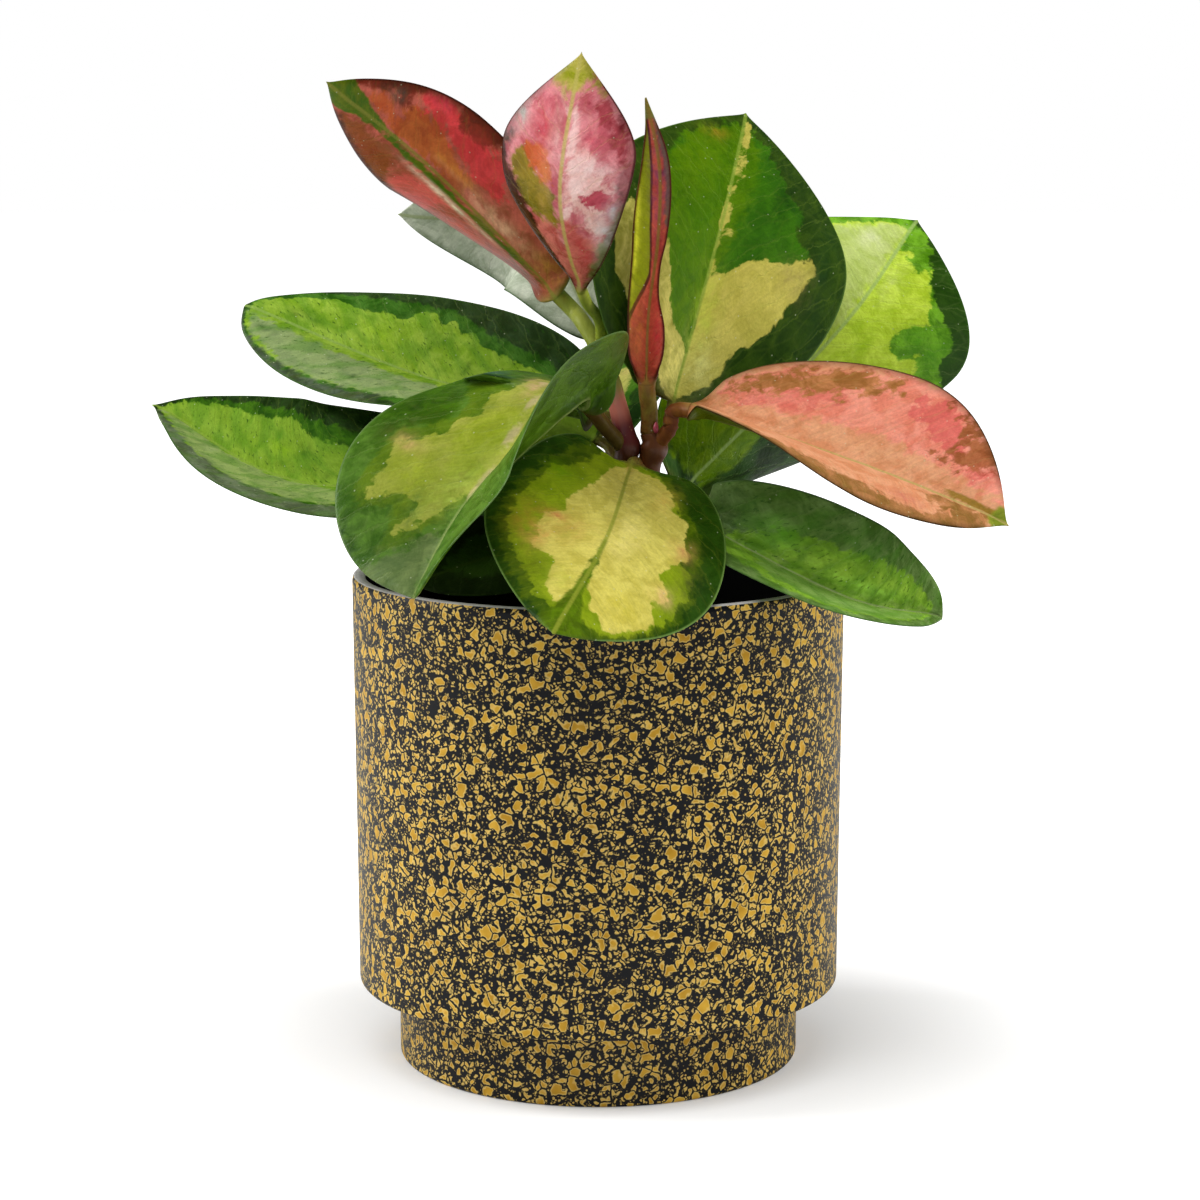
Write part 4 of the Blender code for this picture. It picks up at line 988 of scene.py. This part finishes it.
def stem_material(name, tones, young):
    """Young hoya stem: smooth skin over wood, green turned reddish brown by light."""
    material, tree, shader = new_material(name, Specular_IOR_Level=0.5)
    flat = add(tree, "Attribute", {"attribute_name": "flat"}, out="Vector")
    height = add(tree, "SeparateXYZ", None, flat, out="Y")
    streak = add(tree, "Mapping", None, flat, Scale=(1.0, 0.25, 1.0))
    clouds = add(tree, "TexNoise", None, Vector=streak, Scale=0.6, Detail=4.0, Roughness=0.6)
    tone = add(tree, "MapRange", EASED, clouds, 0.35, 0.65, 0.0, 1.0)
    skin = add(tree, "Mix", BLEND, tone, *tones)
    for low, high, code in young:
        share = add(tree, "MapRange", EASED, height, low, high, 0.0, 1.0)
        skin = add(tree, "Mix", BLEND, share, skin, code)
    # Lenticels: pale corky dots of half a millimetre.
    corky = add(tree, "TexVoronoi", None, Vector=flat, Scale=0.35)
    dot = add(tree, "MapRange", None, corky, 0.08, 0.14, 0.35, 0.0)
    skin = add(tree, "Mix", BLEND, dot, skin, "#a88a60")
    gloss = add(tree, "MapRange", None, clouds, 0.3, 0.7, 0.34, 0.5)
    bump = add(tree, "Bump", None, Strength=0.4, Distance=0.3 * MM, Height=clouds)
    link_surface(tree, shader, skin, gloss, bump)
    return material


def spatter(tree, place):
    """How far a place lies inside the nearest chip or dot, in mm, negative on the bare glaze."""
    # The chips' outlines are bent by up to half a millimetre.
    bend = add(tree, "TexNoise", None, Vector=place, Scale=430.0, Detail=2.0, Roughness=0.6, out="Color")
    shift = add(tree, "VectorMath", {"operation": "SUBTRACT"}, bend, (0.5, 0.5, 0.5))
    push = add(tree, "VectorMath", {"operation": "SCALE"}, shift, Scale=1.3 * MM)
    pulled = add(tree, "VectorMath", {"operation": "ADD"}, place, push)
    inside = -1.0
    for size, level, gap in CHIPS:
        island = add(tree, "TexNoise", None, Vector=pulled, Scale=1 / (size * MM), Detail=1.0, Roughness=0.5)
        filled = add(tree, "Math", TIMES_PLUS, island, 1.6 * size, -1.6 * size * level)
        to_gap = add(tree, "TexVoronoi", {"feature": "DISTANCE_TO_EDGE"}, Vector=pulled,
                     Scale=1 / (1.25 * size * MM))
        cut = add(tree, "Math", TIMES_PLUS, to_gap, 1.25 * size, -gap / 2)
        chip = add(tree, "Math", SOFTLY_SMALLER, filled, cut, 0.6)
        # Smaller chips keep off the larger ones.
        room = add(tree, "Math", TIMES_PLUS, inside, -1.0, -0.8 * gap)
        chip = add(tree, "Math", SOFTLY_SMALLER, chip, room, 0.1)
        inside = add(tree, "Math", LARGER, inside, chip)
    spray = add(tree, "TexVoronoi", None, Vector=place, Scale=1 / (SPRAY_SPACING * MM))
    dot = add(tree, "Math", TIMES_PLUS, spray, -SPRAY_SPACING, SPRAY_RADIUS)
    room = add(tree, "Math", TIMES_PLUS, inside, -1.0, -0.15)
    dot = add(tree, "Math", {"operation": "MINIMUM"}, dot, room)
    return add(tree, "Math", LARGER, inside, dot)


def speckled_glaze(name):
    """Stoneware with a satin charcoal glaze, and flakes of ochre glaze spattered over it.

    The flakes are flat chips of 1 to 4 mm with lobed outlines, kept apart by thin dark gaps, with
    smaller chips and a fine spray of bright dots between them.
    """
    material, tree, shader = new_material(name, Specular_IOR_Level=0.2)
    place = add(tree, "TexCoord", None, out="Object")
    inside = spatter(tree, place)
    # The glaze of a chip is thinner and paler along its rim.
    cloud = add(tree, "TexNoise", None, Vector=place, Scale=160.0, Detail=2.0)
    tone = add(tree, "MapRange", None, cloud, 0.35, 0.65, 0.0, 1.0)
    ochre = add(tree, "Mix", BLEND, tone, "#b4861c", "#d6a836")
    pale = add(tree, "MapRange", None, inside, 0.05, 0.30, 0.6, 0.0)
    ochre = add(tree, "Mix", BLEND, pale, ochre, "#ead07e")
    covered = add(tree, "MapRange", None, inside, -0.06, 0.06, 0.0, 1.0)
    skin = add(tree, "Mix", BLEND, covered, "#090b10", ochre)
    gloss = add(tree, "MapRange", None, covered, 0.0, 1.0, 0.42, 0.5)
    orange_peel = add(tree, "TexNoise", None, Vector=place, Scale=500.0, Detail=2.0)
    height = add(tree, "Math", TIMES_PLUS, covered, 0.5, orange_peel)
    bump = add(tree, "Bump", None, Strength=0.25, Distance=0.1 * MM, Height=height)
    link_surface(tree, shader, skin, gloss, bump)
    return material


def grained(name, codes, scale, roughness, depth, specular=0.2):
    """Plain material with cloudy tone and a fine grain; scale is the grain's size in mm."""
    material, tree, shader = new_material(name, Specular_IOR_Level=specular)
    place = add(tree, "TexCoord", None, out="Object")
    cloud = add(tree, "TexNoise", None, Vector=place, Scale=1 / (8 * scale * MM), Detail=4.0)
    grain = add(tree, "TexNoise", None, Vector=place, Scale=1 / (scale * MM), Detail=4.0, Roughness=0.65)
    half = add(tree, "Math", TIMES, cloud, 0.5)
    both = add(tree, "Math", TIMES_PLUS, grain, 0.5, half)
    tone = add(tree, "MapRange", EASED, both, 0.38, 0.62, 0.0, 1.0)
    skin = add(tree, "Mix", BLEND, tone, *codes)
    gloss = add(tree, "MapRange", None, grain, 0.3, 0.7, roughness - 0.06, roughness + 0.06)
    bump = add(tree, "Bump", None, Strength=0.6, Distance=depth * MM, Height=grain)
    link_surface(tree, shader, skin, gloss, bump)
    return material


# ---------------------------------------------------------------------------------------------
# Leaves and stems
# ---------------------------------------------------------------------------------------------


def leaf_section(leaf, row, stalk_rows):
    """Centre, direction, upper normal, rightward direction and blade share (None on the stalk)."""
    if row < stalk_rows:
        line = leaf["stalk"] + leaf["blade"]
        place = row / STALK_SECTIONS
        along = curve_direction(line, place)
        level = blade_frame(leaf, 0.0)[2]
        normal = (level - along * level.dot(along)).normalized()
        return curve_point(line, place), along, normal, along.cross(normal), None
    share = (row - stalk_rows) / BLADE_SECTIONS
    t = min(0.4 * share + 0.6 * (0.5 - 0.5 * math.cos(math.pi * share)), 0.997)
    return (*blade_frame(leaf, t), t)


def skin_height(leaf, c, s, t, half, share):
    """Height of the skin above the blade's middle, with the midrib below and a groove above it."""
    stalk = leaf["stalk_radius"]
    thick = 0.5 * LEAF_THICKNESS * math.sqrt(1 - c ** 4) * min(1.0, 0.25 + half / 10.0)
    rib = max(stalk * 0.9 * (1 - t) ** 0.8, 0.01)
    reach = min(abs(c) * half / (1.6 * rib), 1.0)
    ridge = rib * math.cos(reach * math.pi / 2) ** 2 if s < 0 else 0.0
    groove = 0.5 * math.exp(-(abs(c) * half / 1.1) ** 2) * (1 - t) if s > 0 else 0.0
    return stalk * abs(s) * (1 - share) + (thick + ridge - groove) * share


def skin_swell(c, flat, half, seed):
    """The blade swells a little between its side veins and waves gently."""
    climb = flat[1] - VEIN_SLOPE * abs(flat[0])
    pillow = 0.10 * abs(math.sin(math.pi * climb / VEIN_SPACING)) * (1 - c ** 4)
    wave = 0.55 * noise.noise(Vector((flat[0] * 0.05, flat[1] * 0.05, seed)))
    return (pillow + wave * abs(c)) * min(1.0, half / 8.0)


def blade_point(leaf, section, c, s, flat, seed):
    """Point of the blade's skin; c runs across, -1 to 1, and s from the underside to the top."""
    centre, _, normal, right, t = section
    root = leaf["stalk_radius"] * (1 - smooth_step(0.0, 0.12, t))
    share = smooth_step(0.0, 0.08, t)
    side = side_of(c)
    sign = 2 * side - 1
    half = math.hypot(blade_half_width(leaf, side, t), root)
    fold = angle_at(leaf["fold"][side], t) * share
    curl = angle_at(leaf["curl"][side], t) * share
    curl = curl if abs(curl) > 0.001 else 0.001
    angle = fold + curl * abs(c)
    across = half * (math.sin(angle) - math.sin(fold)) / curl
    up = half * (math.cos(fold) - math.cos(angle)) / curl
    out = normal * math.cos(angle) - right * (sign * math.sin(angle))
    lift = math.copysign(skin_height(leaf, c, s, t, half, share), s)
    lift += skin_swell(c, flat, half, seed) * share
    return centre + right * (sign * across) + normal * up + out * lift


def flat_places(leaf, sections, stalk_rows):
    """Each skin point on the leaf laid flat, row by row; the stalk lies below the blade."""
    length = blade_length(leaf)
    places = []
    for row, section in enumerate(sections):
        t = section[4]
        for turn in range(AROUND):
            c = math.cos(2 * math.pi * turn / AROUND)
            if t is None:
                places.append((c * leaf["stalk_radius"], (row / stalk_rows - 1) * STALK_FLAT))
            else:
                places.append((c * blade_half_width(leaf, side_of(c), t), t * length))
    return np.array(places)


def leaf_pigments(look, flat):
    """What the colours read at flat places: depth in each zone, three to a name, and the tints."""
    depths = [np.clip(inside_distance(flat, zone[4]), -FAR, FAR) for zone in look["zones"]]
    while len(depths) % 3:
        depths.append(np.full(len(flat), -FAR))
    strength, tint = soft_spots(flat, look.get("tints", []))
    carried = {"flat": np.column_stack([flat, np.zeros(len(flat))]), "tint": tint,
               "tint_strength": strength[:, None]}
    for k in range(0, len(depths), 3):
        carried[zone_field(k)] = np.column_stack(depths[k:k + 3])
    return carried


def build_leaf(name, leaf, look, seed):
    stalk = leaf["stalk_radius"]
    stalk_rows = len(leaf["stalk"]) * STALK_SECTIONS
    sections = [leaf_section(leaf, row, stalk_rows) for row in range(stalk_rows + BLADE_SECTIONS + 1)]
    flat = flat_places(leaf, sections, stalk_rows)
    pigments = leaf_pigments(look, flat)
    length = blade_length(leaf)

    def blade_part(c, s, t, x):
        """Which face a point is on, its share of stalk colour, and how far it is from the edge."""
        leave = 1 - smooth_step(0.0, 0.05, t)
        margin = (1 - abs(c)) * blade_half_width(leaf, side_of(c), t)
        heel = t * length + 8 * max(0.0, 1.2 - abs(x) / stalk)
        return s, leave if s < 0.5 else leave * 0.7, min(margin, heel) + 3 * smooth_step(0.88, 1.0, t)

    def place(turn, row):
        angle = 2 * math.pi * turn / AROUND
        c, s = math.cos(angle), math.sin(angle)
        i = row * AROUND + turn
        centre, _, normal, right, t = sections[row]
        carried = {key: values[i] for key, values in pigments.items()}
        if t is None:
            carried["part"] = (s, 1.0, FAR)
            swell = 1 + 0.12 * math.exp(-((row / stalk_rows) / 0.18) ** 2)
            return centre + stalk * swell * (right * c + normal * s), carried
        carried["part"] = blade_part(c, s, t, flat[i][0])
        return blade_point(leaf, sections[row], c, s, flat[i], seed), carried

    piece = closed_tube(name + "_leaf", AROUND, stalk_rows + BLADE_SECTIONS, place)
    piece.data.materials.append(leaf_material("hoya leaf " + name.replace("_", " "), look))
    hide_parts(name)


def build_stem(name, stem, material):
    line = stem["line"]

    def place(turn, row):
        angle = 2 * math.pi * turn / STEM_AROUND
        spot = row / STEM_SECTIONS
        index = min(int(spot), len(line) - 2)
        f = spot - index
        centre = curve_point(line, spot)
        along = curve_direction(line, spot)
        normal = along.cross(Vector((1, 0, 0))).normalized()
        right = normal.cross(along)
        size = stem["radius"][index] * (1 - f) + stem["radius"][index + 1] * f
        # Each node swells over a few millimetres, and more on one side.
        for height, swell in stem["nodes"]:
            away = (centre.z - height) / 2.6
            side = math.cos(angle - height)
            size += swell * math.exp(-away * away) * (0.75 + 0.25 * side)
        size += 0.12 * noise.noise(Vector((math.cos(angle), math.sin(angle), centre.z * 0.3)))
        point = centre + size * (right * math.cos(angle) + normal * math.sin(angle))
        return point, {"flat": (angle * 3.0, centre.z, 0.0)}

    piece = closed_tube(name + "_skin", STEM_AROUND, (len(line) - 1) * STEM_SECTIONS, place)
    piece.data.materials.append(material)
    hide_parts(name)


def build_bud(material):
    centre = Vector((16.2, -6.7, 181.7))
    length, radius = 3.2, 0.9
    around, along = 20, 16

    def place(turn, row):
        angle = 2 * math.pi * turn / around
        f = row / along
        size = radius * math.sin(math.pi * (f * 0.98 + 0.01)) ** 0.6 * (1 - 0.35 * f)
        size *= 1 + 0.10 * abs(math.cos(angle + 2.4 * f))
        z = (f - 0.5) * length
        return centre + Vector((size * math.cos(angle), size * math.sin(angle), z)), {"flat": (angle, z, 0.0)}

    piece = closed_tube("bud_scales", around, along, place)
    piece.data.materials.append(material)
    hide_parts("axil_bud")


def build_plant():
    for index, (name, leaf) in enumerate(LEAVES.items()):
        build_leaf(name, leaf, LOOKS[name], index * 7.3)
    skins = {
        "left stem": stem_material("left stem skin", ("#4a2412", "#5c3218"),
                                   [(172, 180, "#5a1c20"), (181, 187, "#b86a5a"), (188, 194, "#7f7a34"),
                                    (198, 204, "#a08a50")]),
        "right stem": stem_material("right stem skin", ("#553010", "#4a2412"), [(150, 172, "#603418")]),
    }
    for name, stem in STEMS.items():
        build_stem(name, stem, skins[stem["look"]])
    build_bud(stem_material("bud scales", ("#b0485a", "#8f3040"), []))


# ---------------------------------------------------------------------------------------------
# Pots and soil
# ---------------------------------------------------------------------------------------------

def build_cover_pot():
    glaze = speckled_glaze("speckled satin glaze on stoneware")
    bare = grained("bare stoneware lip", ("#b3afac", "#cbc8c5"), 0.5, 0.6, 0.05)
    # The inside is painted near black, with little gloss: painted shade, where the rim and the leaves shade
    # the pot's inside.
    inside = grained("near-black shade painted inside the pot", ("#020202", "#050506"), 1.2, 0.7, 0.05, specular=0.05)
    # Bands: 0 speckled glaze, 1 bare lip, 2 inside.
    corners = [(0, 8, 0, 2), (53.6, 8, 2, 2), (53.6, 26.3, 1, 2), (65.1, 26.3, 2, 2), (65.9, 138.6, 0, 2),
               (66.5, 139.6, 0.5, 1), (68, 140, 0.5, 1), (69.3, 139.9, 0.4, 1), (69.8, 139.4, 0.3, 0),
               (70, 138.3, 0.2, 0), (69.1, 22.3, 0.9, 0), (57.6, 22.3, 0.3, 0), (57.6, 0, 1.2, 0),
               (0, 0, 0, 0)]
    piece = turned("cover_pot_body", rounded(corners), 160, [glaze, bare, inside])
    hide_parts("cover_pot")


def build_grow_pot():
    plastic = grained("black polypropylene nursery pot", ("#050506", "#0b0b0c"), 0.8, 0.5, 0.04)
    corners = [(0, 9.5, 0, 0), (42.8, 9.5, 1.5, 0), (55.2, 115.2, 0.4, 0), (55.9, 116.3, 0.3, 0),
               (60, 116.3, 0.7, 0), (60, 107.3, 0.3, 0), (58.8, 107.3, 0.3, 0), (58.8, 113.9, 0.6, 0),
               (56.5, 113.9, 0.5, 0), (44, 8.3, 1.5, 0), (0, 8.3, 0, 0)]
    piece = turned("grow_pot_shell", rounded(corners, 3), 96, [plastic])
    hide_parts("grow_pot")


SOIL_SPOKES = 96
SOIL_RINGS = 44
SOIL_WALL_RINGS = 8
SOIL_FOOT = 42.4         # radius at the bottom of the soil
SOIL_EDGE = 54.2         # radius at the top of its wall
SOIL_TOP = 54.0          # radius of its crumbly top
MOUND = 3.0              # how far the soil rises around the stems
FLAKES = 230
FLAKES_REACH = 53        # radius that the flakes lie within
CLEAR_OF_STEMS = 5       # how far they keep from a stem's middle
PERLITE_EVERY = 6        # one flake in so many is a grain of perlite


def soil_mound(radius):
    return MOUND * (1 - smooth_step(12, 42, radius))


def build_soil(low, high):
    """Peat mix: a plain side against the grow pot, and crumbs on top."""
    level = high - MOUND

    def place(turn, row):
        angle = 2 * math.pi * turn / SOIL_SPOKES
        if row <= SOIL_WALL_RINGS:
            share = row / SOIL_WALL_RINGS
            radius = SOIL_FOOT + (SOIL_EDGE - SOIL_FOOT) * share
            height = low + (level - low - 1.5) * share
            return Vector((radius * math.cos(angle), radius * math.sin(angle), height)), {}
        inwards = (row - SOIL_WALL_RINGS - 1) / (SOIL_RINGS - SOIL_WALL_RINGS - 1)
        radius = SOIL_TOP * (1 - inwards)
        x, y = radius * math.cos(angle), radius * math.sin(angle)
        crumbs = noise.fractal(Vector((x, y, 3)) * 0.16, 0.8, 2.1, 5) * 1.3
        hold = smooth_step(0, 3, SOIL_EDGE - radius)
        height = level - 1.2 * (1 - hold) + (soil_mound(radius) + crumbs - 0.6) * hold
        return Vector((x, y, height)), {}

    soil = closed_tube("peat_mix", SOIL_SPOKES, SOIL_RINGS, place)
    soil.data.materials.append(grained("moist peat potting mix", ("#0b0704", "#1c120a"), 1.6, 0.9, 1.2))
    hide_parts("potting_soil")


def build_flakes(level):
    """Loose flakes of bark on the soil, and a few white grains of perlite."""
    scatter = random.Random(11)
    stems = [stem["line"][0][:2] for stem in STEMS.values()]
    flakes = bmesh.new()
    for i in range(FLAKES):
        radius, angle = FLAKES_REACH * math.sqrt(scatter.random()), scatter.uniform(0, 2 * math.pi)
        x, y = radius * math.cos(angle), radius * math.sin(angle)
        if min(math.hypot(x - sx, y - sy) for sx, sy in stems) < CLEAR_OF_STEMS:
            continue
        grain = i % PERLITE_EVERY == 0
        if grain:
            size = Vector((scatter.uniform(0.9, 1.6),) * 3)
        else:
            size = Vector((scatter.uniform(1.5, 4.2), scatter.uniform(1.0, 2.2), scatter.uniform(0.5, 1.0)))
        spin, lean = scatter.uniform(0, 6.28), scatter.uniform(-0.5, 0.5)
        turn = Euler((lean, 0, spin)).to_matrix()
        spot = Vector((x, y, level + soil_mound(radius) + 0.4))
        made = bmesh.ops.create_icosphere(flakes, subdivisions=1, radius=1.0)["verts"]
        for vert in made:
            vert.co = (spot + turn @ (vert.co * (0.85 + 0.3 * scatter.random()) * size)) * MM
        for face in {face for vert in made for face in vert.link_faces}:
            face.material_index = 1 if grain else 0
    piece = finished("bark_flakes", flakes, sharp=40)
    piece.data.materials.append(grained("composted bark flakes", ("#1c1009", "#33200f"), 1.2, 0.8, 0.4))
    piece.data.materials.append(grained("perlite grains", ("#b8b2a4", "#d4cfc2"), 0.8, 0.85, 0.3))


# ---------------------------------------------------------------------------------------------
# Floor, light and camera
# ---------------------------------------------------------------------------------------------

def build_floor():
    """White floor that keeps the soft shadow of the pot and runs out into the white background."""
    bm = bmesh.new()
    bmesh.ops.create_circle(bm, cap_ends=True, segments=96, radius=9.0)
    mesh = bpy.data.meshes.new("floor")
    bm.to_mesh(mesh)
    bm.free()
    floor = bpy.data.objects.new("floor", mesh)
    bpy.context.scene.collection.objects.link(floor)
    material, tree, shader = new_material(
        "white seamless paper", Base_Color=(0.8, 0.8, 0.8, 1), Roughness=0.9, Specular_IOR_Level=0.0,
        Emission_Color=(1, 1, 1, 1))
    seen = add(tree, "LightPath", out="Is Camera Ray")
    spot = add(tree, "TexCoord", out="Object")
    away = add(tree, "VectorMath", {"operation": "LENGTH"}, spot, out="Value")
    # Painted light: the floor glows for the camera, faintly near the pot so that the lamps' soft shadow
    # shows, and fully white further out; the ramp sets how far that shadow reaches.
    glow = add(tree, "MapRange", EASED, away, 0.04, 0.30, 0.16, 1.0)
    tree.links.new(add(tree, "Math", TIMES, seen, glow), shader.inputs["Emission Strength"])
    mesh.materials.append(material)


def hang_softbox(name, place, size, power, mirrored=True):
    data = bpy.data.lights.new(name, "AREA")
    data.shape = "RECTANGLE"
    data.size, data.size_y = size
    data.energy = power
    lamp = bpy.data.objects.new(name, data)
    lamp.location = place
    lamp.rotation_euler = (Vector((0, 0, 0.15)) - Vector(place)).to_track_quat("-Z", "Y").to_euler()
    lamp.visible_glossy = mirrored
    bpy.context.scene.collection.objects.link(lamp)


def build_world():
    """White behind the object, a dim room in its reflections, and soft fill light on it."""
    world = bpy.data.worlds.new("white studio")
    bpy.context.scene.world = world
    world.use_nodes = True
    tree = world.node_tree
    backing = tree.nodes["Background"]
    backing.inputs["Color"].default_value = (1, 1, 1, 1)
    rays = add(tree, "LightPath").node.outputs
    fill = add(tree, "MapRange", None, rays["Is Glossy Ray"], 0.0, 1.0, 0.24, 0.06)
    seen = add(tree, "Math", LARGER, rays["Is Camera Ray"], rays["Is Transmission Ray"])
    tree.links.new(add(tree, "Math", LARGER, seen, fill), backing.inputs["Strength"])


def build_camera():
    data = bpy.data.cameras.new("camera")
    data.sensor_width = 36.0
    data.lens = 89.82
    data.clip_end = 50
    camera = bpy.data.objects.new("camera", data)
    camera.location = (0.0005, -0.845, 0.2644)
    camera.rotation_euler = (math.radians(81.07), 0, 0)
    bpy.context.scene.collection.objects.link(camera)
    bpy.context.scene.camera = camera


build_cover_pot()
build_grow_pot()
soil_low, soil_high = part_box("potting_soil")
build_soil(soil_low.z / MM, soil_high.z / MM)
build_flakes(soil_high.z / MM - MOUND)
build_plant()
build_floor()
hang_softbox("left softbox", (-1.55, 0.05, 0.95), (0.7, 1.5), 26)
hang_softbox("right softbox", (1.55, 0.0, 0.80), (0.7, 1.5), 18, mirrored=False)
hang_softbox("top softbox", (-0.2, -0.7, 1.9), (1.4, 1.4), 25, mirrored=False)
build_world()
build_camera()
bpy.context.scene.view_settings.view_transform = "Standard"
